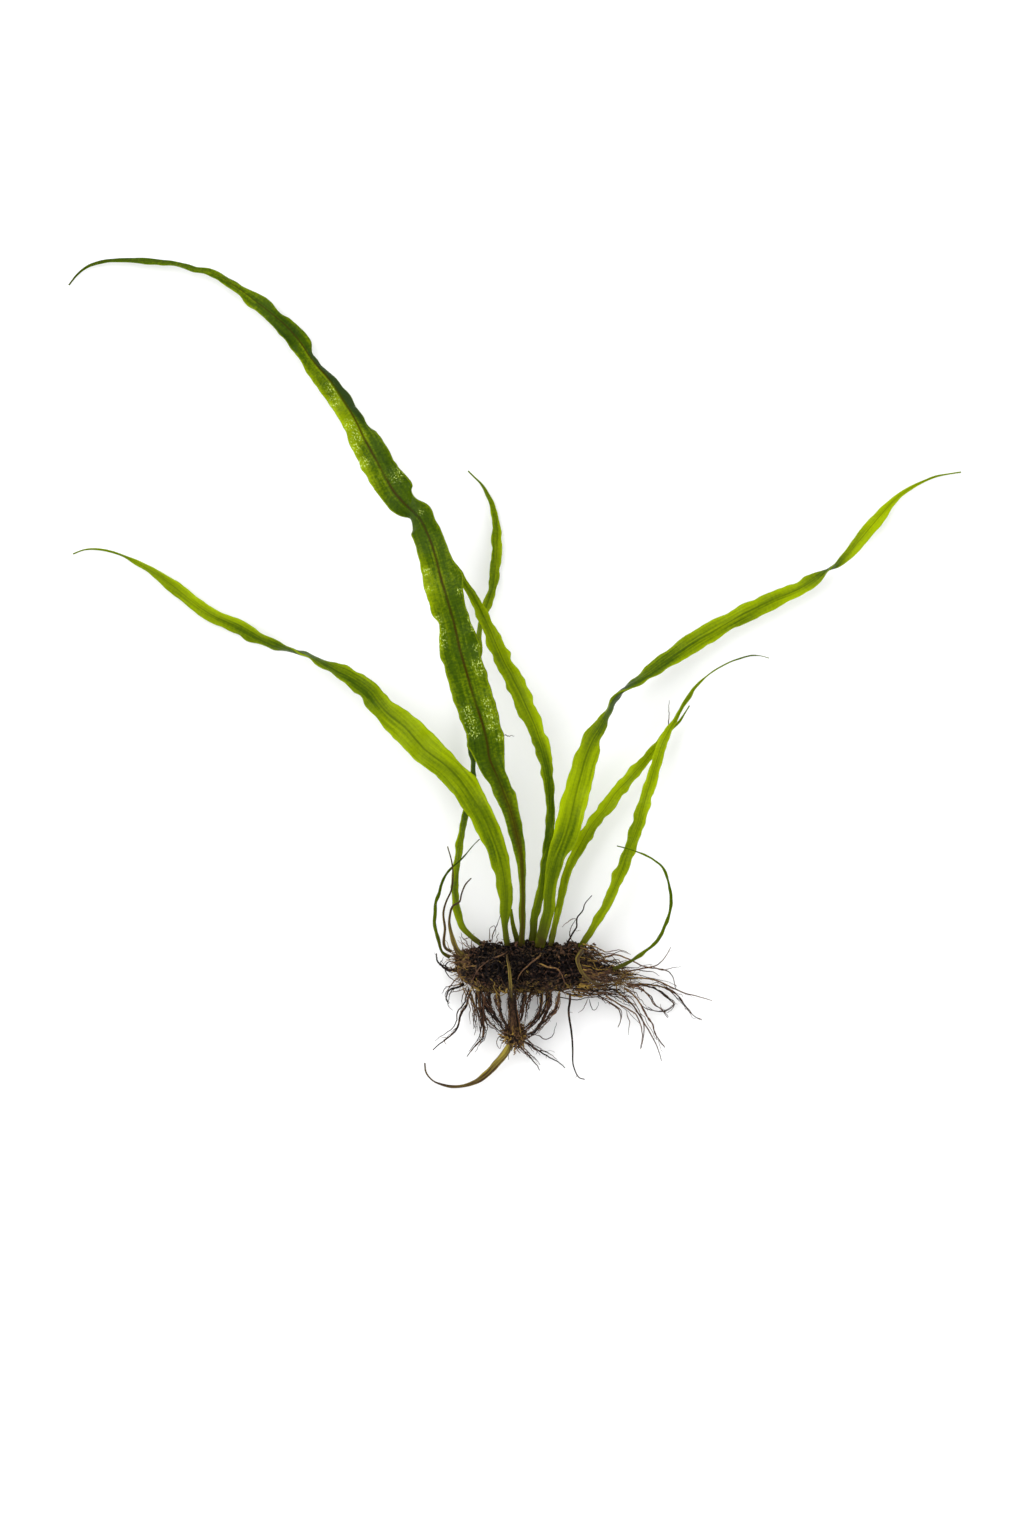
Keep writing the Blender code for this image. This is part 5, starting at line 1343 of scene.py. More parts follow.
@dataclass(frozen=True)
class Knot:
    """The daughter plant's knot of roots: a small lumpy mass under threads that run every way over it."""

    centre: Triple = (-2.4, -17.7, 6.4)
    radius: float = 2.3
    cover: float = 0.5
    mass_grid: tuple[int, int] = (40, 36)
    mass_tone: float = 0.1
    threads: Threads = Threads("knot_threads", Slot.ROOT_BROWN, tip=0.5)
    count: int = 460
    steps: int = 9
    reach: Span = (0.5, 1.15)
    length: Span = (0.8, 2.8)
    thickness: Span = (0.07, 0.26)
    tone: Span = (0.08, 0.78)
    curl: float = 0.7
    oval: Triple = (1.1, 1.45, 0.95)
    shift: Triple = (0.0, 0.5, 0.0)
    outward: Triple = (0.5, 1.1, 0.4)
    drift: Triple = (0.0, 0.1, 0.0)
    stray: float = 0.6

    def build(self, material: Material) -> None:
        """Make the mass, and threads that start all over an oval round it and stray outwards.

        Args:
            material: the finish of both.
        """
        centre = np.array(self.centre)
        mass = lumps(centre[None], np.array((self.radius - self.cover,)), 70, *self.mass_grid)
        make_piece("plantlet_knot_ball", mass, ring_faces(1, *self.mass_grid), material,
                   ("plantlet_knot",), {"tone": np.full(mass.shape[:-1], self.mass_tone)})
        draw, count = np.random.default_rng(77), self.count
        out = unit(draw.normal(0.0, 1.0, (count, 3)))
        origin = centre + out * draw.uniform(*self.reach, (count, 1)) * self.radius * self.oval
        heading = draw.normal(0.0, self.stray, (count, 3)) + out * self.outward + self.drift
        length = draw.uniform(*self.length, count)
        paths = hair_paths(origin + self.shift, heading, length, self.curl, 78, self.steps)
        radius, tone = draw.uniform(*self.thickness, count), draw.uniform(*self.tone, count)
        self.threads.build(paths, radius, tone, material)


# Each root is its radius and the points that it runs through

ROOTS: dict[str, tuple[float, Sequence[Row]]] = {
    "root_right_1": (0.42, ((20.8, 3.2, 9.2), (24.5, 3.8, 9.4), (27.9, 2.5, 9.4), (31, 1, 9.2),
        (33.7, 0.6, 9), (35.3, 1.3, 8.8), (37.1, 3.2, 8.6), (38.7, 5.8, 8.4))),
    "root_right_2": (0.42, ((26.2, -0.6, 7.4), (29.4, -0.3, 7.2), (32.7, 0.4, 6.9), (35.3, 0.1, 6.6),
        (38.5, -1.1, 6), (39.6, -3.2, 5.4), (40.1, -5.1, 5))),
    "root_right_3": (0.45, ((27, -2.7, 6.6), (30, -2.4, 6), (35.4, -3.2, 5.4), (38.6, -4.8, 4.6),
        (42.4, -6.5, 3.4), (45.4, -7.2, 2.6), (49.8, -8.6, 1.4))),
    "root_right_4": (0.42, ((27.7, -4.1, 4.5), (33.8, -4.3, 3.8), (36.5, -4.9, 3.4), (39.7, -6.4, 2.8),
        (43.6, -11.1, 1.6), (45.7, -13.2, 1), (47.1, -13.6, 0.7))),
    "root_right_5": (0.40, ((27.5, -5, 3.2), (31.1, -4.4, 2.4), (35.2, -5.7, 2), (38.1, -7.9, 1.6),
        (39.6, -9.5, 1.3), (37.6, -11.3, 1), (35, -11.4, 0.8), (32.8, -10.3, 0.6))),
    "root_right_6": (0.42, ((27, -3.9, 8.5), (31, -5.2, 8), (32.9, -7.1, 7.4), (34, -9, 6.8),
        (36.4, -10.9, 6), (38, -12.9, 5.2))),
    "root_right_7": (0.45, ((26.5, -5.2, 6), (28.9, -6.9, 5.8), (31, -9.8, 5.4), (32.1, -12.1, 5),
        (33.8, -14.4, 4.4), (34.9, -17.6, 3.8), (37.2, -20.8, 3))),
    "root_right_8": (0.45, ((23.6, -5.6, 3.6), (25.6, -6.9, 3.6), (28.3, -9.3, 3.4), (30.9, -13, 3),
        (33.1, -16.6, 2.4), (34.4, -19, 2), (36.5, -24.6, 1))),
    "root_right_9": (0.42, ((21.5, -7, 8), (25.6, -9.6, 7.4), (29.3, -11.9, 6.6), (30.7, -14.3, 6.4),
        (31.2, -17.3, 5.2), (30.7, -21.3, 3.8))),
    "root_right_10": (0.40, ((19.4, -6.8, 5.6), (23, -9.3, 5), (25.1, -10.9, 4.4), (25.6, -13.1, 3.8),
        (24.8, -15.5, 3.2))),
    "root_long": (0.50, ((12.1, -6.4, 8.6), (12.1, -8.4, 8), (11.8, -10.5, 7), (12.4, -16.2, 5.4),
        (12.9, -21, 4), (13.2, -26.3, 2.2), (14.8, -29.1, 1.2), (16, -29.4, 0.8))),
    "root_left_1": (0.55, ((-18.4, -0.5, 5.2), (-19.9, -0.3, 4.6), (-21.6, 0.6, 3.8), (-22.9, 2, 3.2),
        (-23.2, 4, 2.8))),
    "root_left_2": (0.45, ((-15.8, -4.2, 3.8), (-17.6, -5, 3.4), (-19.3, -5.4, 3), (-20.3, -6.6, 2.6),
        (-20.6, -7.9, 2), (-20, -9.5, 1.4))),
    "root_left_3": (0.50, ((-14, -5.6, 7.9), (-14.8, -7.9, 7.4), (-15.2, -9.5, 6.6), (-16.7, -11.9, 5.6),
        (-17.2, -14.4, 4.6), (-18, -16.3, 3.6), (-21.2, -19.1, 2), (-24.1, -21.7, 1))),
    "root_strand_1": (0.45, ((-11.7, -5.6, 5), (-11.6, -9.3, 5), (-10.8, -13.6, 4.6), (-10.8, -17.8, 3.8),
        (-13, -20.5, 2.6), (-15.1, -23.5, 1.4))),
    "root_strand_2": (0.42, ((-9.5, -5.6, 8), (-9, -9.7, 8), (-7.1, -13.2, 7.6), (-5.3, -15.8, 7.2),
        (-3.4, -17.1, 6.8))),
    "root_strand_3": (0.42, ((-6.9, -5.6, 11.5), (-6.3, -9.6, 11.5), (-5.8, -12.8, 10.2), (-4.6, -15.2, 9),
        (-2.9, -17.1, 7.6))),
    "root_strand_4": (0.45, ((0, -6.4, 4.5), (-0.3, -9.3, 4.4), (-0.8, -13.1, 4.2), (-1.6, -15.7, 4.4),
        (-2.4, -17.3, 5))),
    "root_strand_5": (0.45, ((4.5, -6.6, 9.5), (4.5, -9.6, 9.6), (3.4, -12.3, 9.4), (1, -15.5, 8.6),
        (-1.6, -17.4, 7))),
    "root_strand_6": (0.48, ((6.8, -6.4, 5.6), (6.2, -10.4, 5.4), (4.5, -14.1, 5), (2.1, -17, 4.8),
        (-1.3, -18, 5.8))),
    "root_strand_7": (0.40, ((9.4, -6.2, 12), (8.4, -10.1, 11.6), (5.5, -13.3, 11.2), (2.6, -16.2, 10),
        (-1.3, -17.6, 7.6))),
    "root_below_1": (0.40, ((-1.8, -17.9, 5), (1, -19.9, 3.6), (3.2, -21.3, 2.8), (6.6, -23.5, 2),
        (9, -24.8, 1.4), (10.9, -26.4, 0.9))),
    "root_below_2": (0.38, ((-2.1, -18.4, 6.4), (-0.8, -20.9, 5.6), (1.4, -23.2, 4.6), (3.2, -25.4, 3.4),
        (4.2, -27, 2.4))),
    "root_top": (0.40, ((11.2, 6.2, 13.2), (11.8, 7.8, 14), (12.8, 9.8, 14.6), (13.7, 11.3, 15),
        (13.9, 13.7, 15.4), (15.3, 15.5, 15.6), (15.9, 17.4, 15.8), (17.8, 19.7, 16))),
}
FINE_ROOTS: dict[str, Sequence[tuple[float, Sequence[Row]]]] = {
    "spray": (
        (0.20, ((27.8, -4.9, 6.5), (31, -5.5, 6), (33.2, -7.1, 5.2), (34.6, -9.3, 4.2), (36.7, -11, 3.2),
            (38.1, -12.9, 2.4))),
        (0.16, ((30.6, -9.3, 5.5), (32.4, -10.6, 4.8), (35.1, -11.2, 4), (37.5, -11, 3.4), (39.1, -9.9, 3),
            (40, -9.4, 2.8))),
        (0.18, ((31.9, -4.2, 7.2), (35.1, -5.5, 6.4), (37.7, -7.7, 5.2), (40, -9.6, 4.2))),
        (0.20, ((35.9, -4, 5.8), (39.1, -5.8, 5), (41.3, -8, 4), (43, -10.2, 3), (45.7, -13.2, 1.8),
            (47.1, -13.7, 1.4))),
        (0.16, ((34.6, -4, 5), (37.8, -5.5, 4.6), (40.4, -7.7, 3.6), (43, -11, 2.4))),
        (0.15, ((29.5, -0.1, 8.6), (31.8, -0.5, 8.4), (34.2, -0.8, 8), (35.6, -1.8, 7.6))),
        (0.18, ((20.1, -7.5, 4.6), (23.8, -9.6, 4.2), (25.6, -11, 3.6), (25.6, -13.9, 2.8),
            (24.9, -15.5, 2.2))),
        (0.15, ((26.9, -11, 3.8), (27.8, -13.9, 3), (27.8, -16, 2.4), (27.5, -17.8, 1.8))),
        (0.20, ((30.6, -11.7, 4), (31.6, -14.4, 3.2), (31.7, -17.2, 2.4), (31, -21.3, 1.2))),
        (0.20, ((31, -9.3, 5), (31.9, -11.2, 4.4), (32.7, -13.1, 3.8), (34.1, -14.9, 3.2),
            (34.6, -17.2, 2.4), (37.3, -21.1, 1.2))),
        (0.15, ((33.2, 0.9, 9), (37.4, -0.2, 8.6), (39.2, 0.4, 8.2), (41.2, 0.7, 7.8))),
        (0.14, ((16.9, -7.8, 4), (16.3, -9.4, 3.2), (15.4, -11, 2.4), (14.4, -11.8, 1.8))),
        (0.14, ((17.1, -7.7, 5.2), (17.6, -9.6, 4.4), (18.4, -11, 3.6), (19.6, -9.9, 3.2),
            (19.7, -8.8, 3.2))),
    ),
    "left": (
        (0.20, ((-18.2, 2.3, 6), (-20.3, 1.5, 5.4), (-20.9, 0.2, 5), (-18.6, -3, 4.6), (-16.4, -4, 5))),
        (0.18, ((-17.2, -1.9, 5.5), (-19.2, -4.3, 4.2), (-20.8, -7, 2.8), (-19.8, -9.2, 1.6))),
        (0.15, ((-14.8, -4.4, 3.6), (-16.2, -7, 2.6), (-16.5, -10.4, 1.6), (-16.8, -11.6, 1.2))),
    ),
    "curtain": (
        (0.20, ((-14.8, -5.6, 5.6), (-13.8, -7.7, 5), (-13, -10.5, 4.2), (-13, -13.3, 3.2),
            (-12.7, -15.8, 2.4), (-13.2, -17.7, 1.6))),
        (0.32, ((-11.1, -5.5, 7.6), (-10.8, -9.5, 6.6), (-10.6, -13.2, 5.2), (-10.8, -16.2, 3.8),
            (-11, -18.1, 3))),
    ),
    "basket": (
        (0.24, ((-10.6, -6, 8.6), (-9.5, -8.9, 8.4), (-7.9, -11.6, 8), (-6.3, -13.9, 7.6),
            (-4.5, -16.3, 7))),
        (0.28, ((-11.1, -7.6, 7), (-10, -10.3, 6.8), (-8.7, -12, 6.6), (-7.3, -13.7, 6.4), (-6, -15.6, 6.2),
            (-4.2, -17.4, 6.2))),
        (0.22, ((-11.6, -9.8, 5.2), (-10, -13, 5), (-8.1, -15.1, 5), (-6.5, -16.4, 5.4), (-4.5, -17.7, 6))),
        (0.34, ((-6.2, -4.1, 10.5), (-7.3, -8.1, 9.4), (-6.5, -10.9, 8.6), (-5, -13.7, 8),
            (-3.4, -16.3, 7.4))),
        (0.32, ((-1.9, -4.9, 9), (-2.4, -8.3, 9), (-1.9, -11.3, 8.6), (-1.9, -15, 8))),
        (0.30, ((0.1, -4.9, 10), (-0.3, -8.3, 9.6), (-1.1, -11.8, 9), (-1.6, -15.5, 8))),
        (0.22, ((2.4, -5.5, 8), (0.8, -9.2, 8), (0.4, -12.4, 7.6), (0, -15, 7.2))),
        (0.42, ((4.2, -4.9, 9), (4.6, -8.4, 8.6), (3.9, -11.7, 8), (1.8, -14.2, 7.6), (-1.1, -16.3, 7.2))),
        (0.36, ((6.3, -5.6, 6.4), (6.1, -8.7, 6.4), (4.7, -11.9, 6.6), (2.4, -14.8, 6.8),
            (-0.8, -16.9, 6.8))),
        (0.30, ((8.9, -6.7, 5.6), (8.7, -9.6, 5.6), (6.3, -12.9, 5.8), (4.2, -15.1, 6), (1.8, -17.7, 6),
            (-0.5, -18.8, 6))),
    ),
    "below": (
        (0.17, ((2.1, -17.2, 5.6), (3.7, -17.6, 5.2), (5.6, -18.6, 4.6), (7, -18.3, 4.2), (8.1, -16.2, 3.8),
            (8.6, -14.3, 3.6))),
        (0.16, ((-2.4, -19.6, 6.2), (-1.6, -20.9, 5.4), (0.8, -22.9, 4))),
        (0.18, ((-1.6, -19, 6.6), (-0.6, -20.1, 6), (1.6, -22.6, 4.6), (3.7, -24.6, 3.2),
            (4.3, -25.7, 2.6))),
        (0.15, ((0, -18.8, 6), (1.3, -20.4, 5), (2.6, -22.1, 3.8))),
        (0.17, ((0, -17.7, 5.4), (1.6, -19.4, 4.6), (3.2, -21.6, 3.4), (4.3, -23, 2.6))),
        (0.16, ((-4, -19.3, 5.6), (-4.2, -21.8, 4), (-4.1, -24.1, 2.6))),
        (0.14, ((-4.2, -18.3, 5), (-6.4, -17.8, 4), (-7.1, -19.2, 3), (-6.6, -21.3, 2.2),
            (-5.6, -19.2, 2.4))),
    ),
    "top": (
        (0.17, ((12.8, 7.3, 13), (12, 8.9, 14), (12.3, 11.2, 14.8), (13.3, 12.9, 15.2), (14, 13.9, 15.4))),
        (0.15, ((13.7, 13.7, 15.4), (12.3, 13.2, 15), (9.9, 11.3, 14.2))),
        (0.18, ((-8.4, 6.8, 14), (-8.3, 9, 15), (-7.1, 11.9, 15.6), (-6.2, 14.5, 16))),
        (0.14, ((-8.7, 6.8, 14.4), (-9.1, 9.5, 15.2), (-8.8, 11.1, 15.6), (-7.9, 11.7, 15.8),
            (-7.4, 10.5, 15.6), (-7.9, 8.7, 15))),
        (0.14, ((-7.4, 6.6, 14.6), (-7.1, 8.4, 15.2), (-6.7, 10, 15.6))),
        (0.15, ((-14.5, 5.9, 9.6), (-15.3, 7.5, 10.2), (-16.1, 8.3, 10.6), (-16.7, 9.8, 11))),
        (0.15, ((-16.1, 7.8, 10.4), (-14.8, 8.3, 10.8), (-14, 8.8, 11))),
        (0.16, ((37.8, 62.8, 3.4), (38.1, 63.8, 3.2), (38.3, 66.8, 2.6), (38.4, 71, 1.6))),
        (0.14, ((-5.5, 61.6, 27), (-3.7, 61.3, 27.2), (-2.7, 61.4, 27.2))),
    ),
    "over": (
        (0.28, ((4.6, 4.8, 13.4), (4.1, 3.7, 16.2), (1.5, 1.8, 17.8), (-0.8, -0.6, 17.9), (-1.6, -2, 17.1),
            (-2, -3, 15.4))),
        (0.27, ((3.1, 2, 15.8), (4.6, 1.6, 17.6), (6.4, 0.9, 17.8), (8.6, 0.4, 17.4), (9.9, -1.2, 16.8),
            (10.4, -2.5, 15.6), (10.6, -3.6, 13.8))),
        (0.26, ((-4.3, 4.7, 13), (-5.2, 4.3, 15.6), (-7.6, 3.3, 16.1), (-10.8, 1.4, 15.4),
            (-12.6, -0.7, 14.2), (-13.5, -2.4, 12.8), (-13.8, -3.8, 10.8))),
    ),
}
COMBED: Sequence[Sequence[Row]] = (
    ((14.7, 5.3, 10), (18.3, 4.4, 10.6), (21, 3.5, 10.4), (24.2, 3.9, 10), (27.4, 3.2, 9.6),
     (28.8, 2.3, 9.4)),
    ((14.7, 1, 15), (19.2, -0.4, 13.2), (23.8, 0.5, 11.2), (28.3, 0.1, 9.2), (32.8, 0.3, 8.4),
     (37.4, 0.1, 7.6), (41, 0.8, 7)),
    ((16.1, -1.8, 14.4), (21.5, -2.6, 11.8), (26, -2.2, 9), (30.6, -2.6, 6.8), (35.1, -3.8, 5.4),
     (39.6, -5.4, 4.2)),
    ((13.8, -4.9, 10.6), (18.3, -5.4, 8.8), (22.9, -5.8, 7.4), (27.4, -6.3, 6.6), (31, -9.9, 5.6),
     (32.8, -13.5, 4.6)),
    ((10.2, -6.7, 6.6), (14.7, -7.4, 6.2), (19.2, -6.5, 5.6), (23.8, -7.4, 5.2), (28.3, -10.8, 4.6),
     (31.9, -14.9, 3.6), (35.1, -19.9, 2)),
)


@dataclass(frozen=True)
class RootSystem:
    """The loose roots: the main ones, thinner companions beside them, hairs on them, and free hairs."""

    felt: Felt
    main_steps: int = 64
    fine_steps: int = 26
    hair_steps: int = 9
    tuft_steps: int = 14
    main: Threads = Threads("roots_main", Slot.ROOT_BROWN, sides=8, tip=0.42, fade=0.55, nodes=tuple(ROOTS))
    companion: Threads = Threads("roots_companion", Slot.ROOT_BROWN, fade=0.6)
    fine: Threads = Threads("roots_fine", Slot.ROOT_BROWN, sides=6, tip=0.35, fade=0.3, start=0.25)
    hair: Threads = Threads("root_hairs", Slot.ROOT_BROWN, tip=0.35)
    felt_hair: Threads = Threads("felt_hairs", Slot.ROOT_DARK)
    right_tone: float = 0.60
    strand_tone: float = 0.35
    other_tone: float = 0.1
    right_size: float = 0.50
    other_size: float = 0.62
    fine_size: float = 0.9
    fine_tone: float = 0.3
    over_tone: float = 0.54
    spray: Sequence[str] = (
        "combed_0", "root_right_1", "root_right_2", "combed_1", "combed_2", "root_right_3", "root_right_4",
        "root_right_5", "combed_3", "root_right_6", "root_right_7", "combed_4", "root_right_8",
        "root_right_9", "root_right_10")
    spray_count: int = 14
    comb_count: int = 52
    shortest: float = 0.3
    stem_cut: int = 18
    companion_clearance: float = 0.3
    crumb_spread: float = 0.12
    tuft_depth: float = 0.6
    tufts: Sequence[Tuft] = (
        Tuft(60, (-14.5, 10), (3, 4.2), (0, -1, -0.25), 0.4, (1.5, 5), (0.07, 0.15)),
        Tuft(60, (9, 26), (2.6, 4.4), (0.45, -0.7, -0.2), 0.4, (1, 4), (0.06, 0.13)),
        Tuft(36, (22, 26), (1, 5), (1, -0.25, -0.1), 0.3, (3, 9), (0.07, 0.14)),
        Tuft(80, (-17.4, -13.5), (1.2, 4.6), (-1, -0.1, -0.2), 0.55, (1.5, 5), (0.08, 0.19), 0.5),
        Tuft(80, (-17.4, -12), (-0.7, 1.6), (-1, 0.35, 0.1), 0.45, (2.5, 7), (0.08, 0.22), 0.9),
        Tuft(170, (-16, 20), (-0.5, 0.9), (0, 1, 0.2), 0.6, (1, 3.4), (0.07, 0.17), 0.8),
        Tuft(160, (-16, 22), (0.6, 2.5), (0, 0, 1), 1.2, (0.8, 2.6), (0.06, 0.13), 0.8),
    )
    crumbs: Sequence[Crumbs] = (
        Crumbs(150, (6.5, 14.5), (-0.25, 1), (0.12, 0.42), 0.28, 1.15),
        Crumbs(330, (-16, 18), (0, 3.5), (0.1, 0.36), 0.16),
        Crumbs(90, (-15, 12), (2.2, 3.6), (0.1, 0.3), 0.4),
        Crumbs(130, (-15, 19), (-0.4, 0.4), (0.12, 0.4), 0.22, 1.2),
    )

    def beside(self, paths: Array, copies: int, start: float, stray: float, seed: int) -> Array:
        """Thinner roots that keep company with others, stray from them, and end at places of their own.

        Args:
            paths: the roots to follow.
            copies: how many companions each of them has.
            start: how far a companion starts from its root, in millimetres.
            stray: how far it strays on the way.
            seed: for the random draws.

        Returns:
            The companions' paths.
        """
        draw = np.random.default_rng(seed)
        many = np.repeat(paths, copies, axis=0)
        line = trimmed(many, draw.uniform(0.5, 1.0, len(many)), self.fine_steps)
        t = np.linspace(0.0, 1.0, self.fine_steps)[None, :, None]
        offset = draw.normal(0.0, start, (len(many), 1, 3)) * (1.0 - 0.5 * t)
        offset = offset + draw.normal(0.0, stray, (len(many), 1, 3)) * (1.0, 1.0, 0.5) * t**1.4
        return kinked(line + offset, 0.22, seed + 1)

    def between(self, guides: Array, count: int, longest: float, seed: int) -> Array:
        """Roots that run side by side between neighbouring guides, like combed hair.

        Args:
            guides: the paths to run between.
            count: how many roots.
            longest: the largest share of a guide's length that a root can have.
            seed: for the random draws.

        Returns:
            The roots' paths.
        """
        draw = np.random.default_rng(seed)
        pair = draw.integers(0, len(guides) - 1, count)
        share = draw.uniform(-0.15, 1.15, (count, 1, 1))
        line = guides[pair] * (1 - share) + guides[pair + 1] * share
        length = self.shortest + (longest - self.shortest) * draw.uniform(0.0, 1.0, count) ** 1.8
        line = trimmed(line, length, self.fine_steps)
        return kinked(line + draw.normal(0.0, 0.35, (count, 1, 3)), 0.34, seed + 1)

    def side_paths(self, paths: Array, each: int, length: Span, seed: int) -> Array:
        """Short hairs that stand off other roots, forward and to a random side.

        Args:
            paths: the roots.
            each: how many hairs each of them has.
            length: the shortest and the longest of them.
            seed: for the random draws.

        Returns:
            The hairs' paths.
        """
        draw = np.random.default_rng(seed)
        many = np.repeat(np.arange(len(paths)), each)
        at = draw.integers(2, paths.shape[1] - 1, len(many))
        along, side, up = travel(paths)
        turn = draw.uniform(0.0, 2 * np.pi, (len(many), 1))
        out = side[many, at] * np.cos(turn) + up[many, at] * np.sin(turn)
        heading = out + along[many, at] * draw.uniform(0.3, 1.4, (len(many), 1))
        size = draw.uniform(*length, len(many))
        return hair_paths(paths[many, at], heading, size, 0.30, seed + 1, self.hair_steps)

    def tuft_paths(self) -> tuple[Array, Array]:
        """Grow every tuft's hairs out of the felt.

        Returns:
            The paths, and the radius of each.
        """
        paths, radii = [], []
        for number, tuft in enumerate(self.tufts):
            draw, count = np.random.default_rng(300 + number), tuft.count
            x, angle = draw.uniform(*tuft.x, count), draw.uniform(*tuft.angle, count)
            origin = self.felt.point(x, angle, np.full(count, -self.tuft_depth))
            heading = np.array(tuft.heading) + draw.normal(0.0, tuft.spread, (count, 3))
            length = draw.uniform(*tuft.length, count)
            paths.append(hair_paths(origin, heading, length, tuft.curl, 400 + number, self.tuft_steps))
            radii.append(draw.uniform(*tuft.radius, count))
        return np.concatenate(paths), np.concatenate(radii)

    def crumb_piece(self, material: Material) -> None:
        """Make the crumbs that cling to the felt.

        Args:
            material: their finish.
        """
        centre, radius, tone = [], [], []
        for number, crumbs in enumerate(self.crumbs):
            draw, count = np.random.default_rng(500 + number), crumbs.count
            x, angle = draw.uniform(*crumbs.x, count), draw.uniform(*crumbs.angle, count)
            centre.append(self.felt.point(x, angle, draw.uniform(0.0, crumbs.rise, count)))
            radius.append(draw.uniform(*crumbs.radius, count))
            tone.append(crumbs.tone + draw.normal(0.0, self.crumb_spread, count))
        balls = lumps(np.concatenate(centre), np.concatenate(radius), 510)
        tones = np.broadcast_to(np.concatenate(tone)[:, None, None], balls.shape[:-1])
        faces = ring_faces(*balls.shape[:3])
        make_piece("felt_crumbs", balls, faces, material, (), {"tone": tones})

    def companion_paths(self, known: dict[str, Array], combed: Array, fine: dict[str, Array]) -> Array:
        """Thinner roots: the spray and the comb at the right first, then those beside other roots.

        Args:
            known: the main roots and the combed lines by name.
            combed: the combed lines.
            fine: the fine roots of each group.

        Returns:
            Their paths.
        """
        strands, left, below = (
            np.stack([known[name] for name in ROOTS if word in name]) for word in ("strand", "left", "below"))
        curtain = trimmed(fine["curtain"], np.ones(len(fine["curtain"])), self.main_steps)
        stem = even_paths((PLANTLET_STEM,), self.main_steps)[:, :self.stem_cut:-1]
        groups = ((strands[1:], 5, 0.35, 0.30, 43), (fine["basket"], 5, 0.45, 0.30, 44),
                  (np.concatenate((strands[:1], curtain)), 7, 0.75, 0.55, 45), (left, 3, 0.5, 0.9, 46),
                  (combed, 2, 0.8, 0.7, 47), (below, 3, 0.3, 1.0, 49), (stem, 64, 0.85, 0.3, 50))
        spray = np.stack([known[name] for name in self.spray])
        paths = np.concatenate((self.between(spray, self.spray_count, 1.0, 61),
                                self.between(combed, self.comb_count, 0.75, 62),
                                *(self.beside(*group) for group in groups)))
        paths[..., 2] = np.maximum(paths[..., 2], self.companion_clearance)
        return paths

    def build(self, material: Material) -> None:
        """Make the main roots, their companions, the fine roots, all hairs and the crumbs.

        Args:
            material: the finish of them all.
        """
        draw = np.random.default_rng(42)
        main = kinked(even_paths([rows for _, rows in ROOTS.values()], self.main_steps), 0.08, 41)
        right = np.array(["right" in name for name in ROOTS])
        radius = np.array([size for size, _ in ROOTS.values()])
        radius = radius * np.where(right, self.right_size, self.other_size)
        tone = np.where(right, self.right_tone,
                        [self.strand_tone if "strand" in name else self.other_tone for name in ROOTS])
        self.main.build(main, radius, tone + draw.normal(0.0, 0.12, len(main)), material)

        fine = {group: kinked(even_paths([rows for _, rows in roots], self.fine_steps), 0.10, 48)
                for group, roots in FINE_ROOTS.items()}
        combed = even_paths(COMBED, self.main_steps)
        known = dict(zip(ROOTS, main)) | {f"combed_{number}": path for number, path in enumerate(combed)}
        companions = self.companion_paths(known, combed, fine)
        number = np.arange(len(companions))
        right = number < self.spray_count + self.comb_count
        tone = draw.uniform(0.05, 0.80, len(number)) + right * draw.uniform(-0.35, 0.50, len(number))
        radius = draw.uniform(0.08, 0.20, len(number)) - 0.02 * (number < self.spray_count)
        self.companion.build(companions, radius, tone, material)

        radius = np.array([size for roots in FINE_ROOTS.values() for size, _ in roots]) * self.fine_size
        tone = np.concatenate([np.full(len(roots), self.over_tone if group == "over" else self.fine_tone)
                               for group, roots in FINE_ROOTS.items()])
        tone = tone + draw.uniform(-0.15, 0.15, len(radius))
        self.fine.build(np.concatenate(tuple(fine.values())), radius, tone, material)

        short = np.concatenate((self.side_paths(main, 2, (0.8, 2.4), 51),
                                self.side_paths(companions[::2], 1, (0.6, 2.0), 53)))
        radius, tone = draw.uniform(0.05, 0.10, len(short)), draw.uniform(0.1, 0.6, len(short))
        self.hair.build(short, radius, tone, material)

        free, radius = self.tuft_paths()
        tone = self.felt.tone(free) + draw.uniform(0.0, 0.3, len(free))
        self.felt_hair.build(free, radius, tone, material)
        self.crumb_piece(material)


# Studio


@dataclass(frozen=True)
class Lamp:
    """A square soft light, with its place, size and aim in metres and its power in watts."""

    name: str
    place: Triple
    size: float
    power: float
    aim: Triple = (0.0, 0.06, 0.0)

    def turn(self) -> Triple:
        """Angles that point the lamp's -Z at its aim: a tilt away from straight down, then a turn about Z.

        Returns:
            The angles in radians.
        """
        x, y, z = np.array(self.aim) - np.array(self.place)
        return float(np.arctan2(np.hypot(x, y), -z)), 0.0, float(np.arctan2(y, x) - np.pi / 2)

    def build(self) -> None:
        """Hang the lamp."""
        data = bpy.data.lights.new(self.name, "AREA")
        data.shape = "SQUARE"
        data.size = self.size
        data.energy = self.power
        lamp = bpy.data.objects.new(self.name, data)
        lamp.location = self.place
        lamp.rotation_euler = self.turn()
        bpy.context.scene.collection.objects.link(lamp)


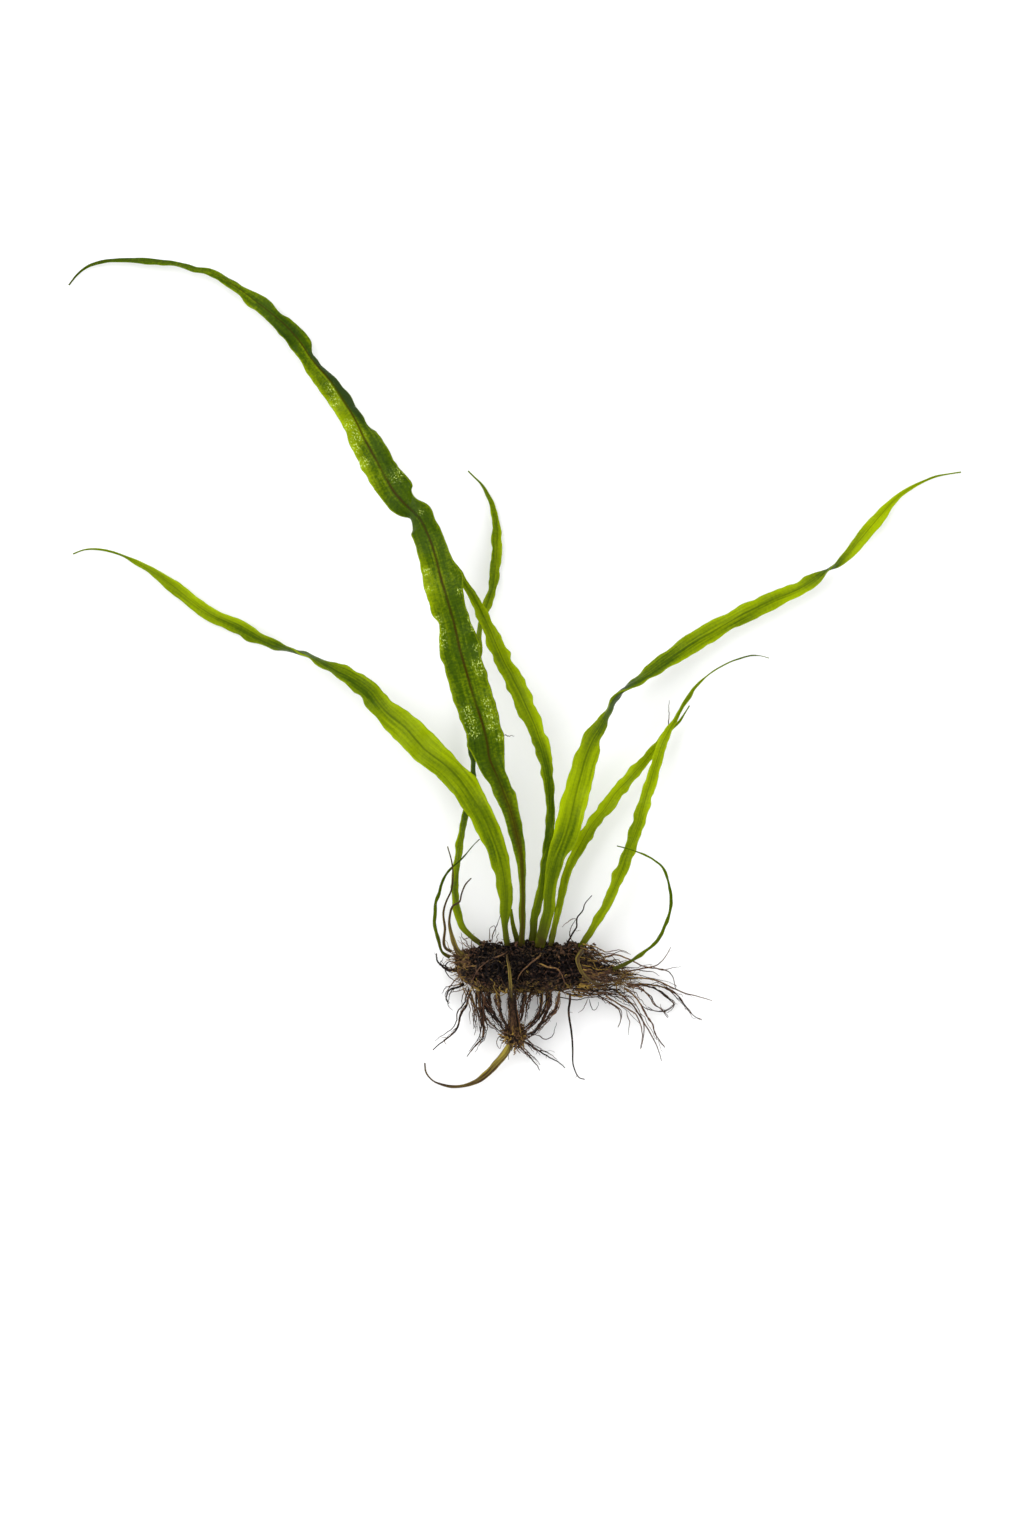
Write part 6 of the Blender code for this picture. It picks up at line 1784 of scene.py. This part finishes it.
@dataclass(frozen=True)
class Studio:
    """A pale surface, soft light all round and a camera that looks down on the plant.

    The picture and the origin's place in it are in pixels, and a pixel is so many millimetres of the plant.
    """

    picture: tuple[int, int] = (1024, 1536)
    pixel: float = 0.265
    origin_pixel: Span = (524.0, 968.0)
    camera_height: float = 1400.0
    sensor: float = 36.0
    sight: Span = (0.01, 50.0)
    floor_half: float = 3.0
    floor_gap: float = 0.1
    sky_strength: Span = (1.7, 1.07)
    lamps: Sequence[Lamp] = (
        Lamp("key", (-0.9, 0.7, 1.2), 1.6, 17.0),
        Lamp("fill", (1.1, -0.5, 1.1), 1.2, 4.5),
    )

    def camera(self) -> None:
        """Hang the camera over the middle of the picture, with a lens that gives the pixel its size."""
        width, height = self.picture
        data = bpy.data.cameras.new("camera")
        data.sensor_width = self.sensor
        data.lens = self.sensor * self.camera_height / (height * self.pixel)
        data.clip_start, data.clip_end = self.sight
        camera = bpy.data.objects.new("camera", data)
        x = (width / 2 - self.origin_pixel[0]) * self.pixel
        y = (self.origin_pixel[1] - height / 2) * self.pixel
        camera.location = (x * MM, y * MM, self.camera_height * MM)
        bpy.context.scene.collection.objects.link(camera)
        bpy.context.scene.camera = camera

    def floor(self) -> None:
        """Lay the surface just under the plant, a square whose half is in metres."""
        half, down = self.floor_half, -self.floor_gap * MM
        corners = [(-half, -half, down), (half, -half, down), (half, half, down), (-half, half, down)]
        mesh = bpy.data.meshes.new("floor")
        mesh.from_pydata(corners, [], [(0, 1, 2, 3)])
        mesh.materials.append(FloorFinish().build())
        floor = bpy.data.objects.new("floor", mesh)
        bpy.context.scene.collection.objects.link(floor)

    def sky(self) -> None:
        """Light from all round: its strength goes evenly from the horizon's value to the one overhead."""
        g = Graph(bpy.data.worlds.new("soft_light"))
        toward = g.add("ShaderNodeTexCoord", {}, "Generated")
        height = g.add("ShaderNodeSeparateXYZ", {"Vector": toward}, "Z")
        strength = g.ramp(height, 0.0, 1.0, *self.sky_strength)
        light = g.add("ShaderNodeBackground", {"Strength": strength}, "Background")
        bpy.context.scene.world = g.surface(light, "ShaderNodeOutputWorld")

    def build(self) -> None:
        """Set up camera, surface and light."""
        self.camera()
        self.floor()
        self.sky()
        for lamp in self.lamps:
            lamp.build()
        bpy.context.scene.view_settings.view_transform = "Standard"


def main() -> None:
    """Build the plant and the studio; every piece logs its number of faces."""
    logging.basicConfig(level=logging.INFO, format="%(message)s")
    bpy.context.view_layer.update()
    Studio().build()
    Foliage().build()
    roots = RootFinish(
        "wiry_roots", dark=(0.008, 0.005, 0.004), middle=(0.105, 0.056, 0.030), pale=(0.42, 0.27, 0.050))
    strands = RootFinish(
        "felt_strands", dark=(0.0045, 0.003, 0.0035), middle=(0.070, 0.044, 0.024),
        pale=(0.25, 0.165, 0.040), grain=0.24)
    core = RootFinish(
        "felt_core", dark=(0.003, 0.002, 0.002), middle=(0.020, 0.012, 0.007), pale=(0.05, 0.03, 0.02),
        roughness=(0.68, 0.95))
    felt, wiry = Felt(), roots.build()
    felt.build(core.build(), strands.build())
    RootSystem(felt).build(wiry)
    Knot().build(wiry)
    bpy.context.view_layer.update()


if __name__ == "__main__":
    main()
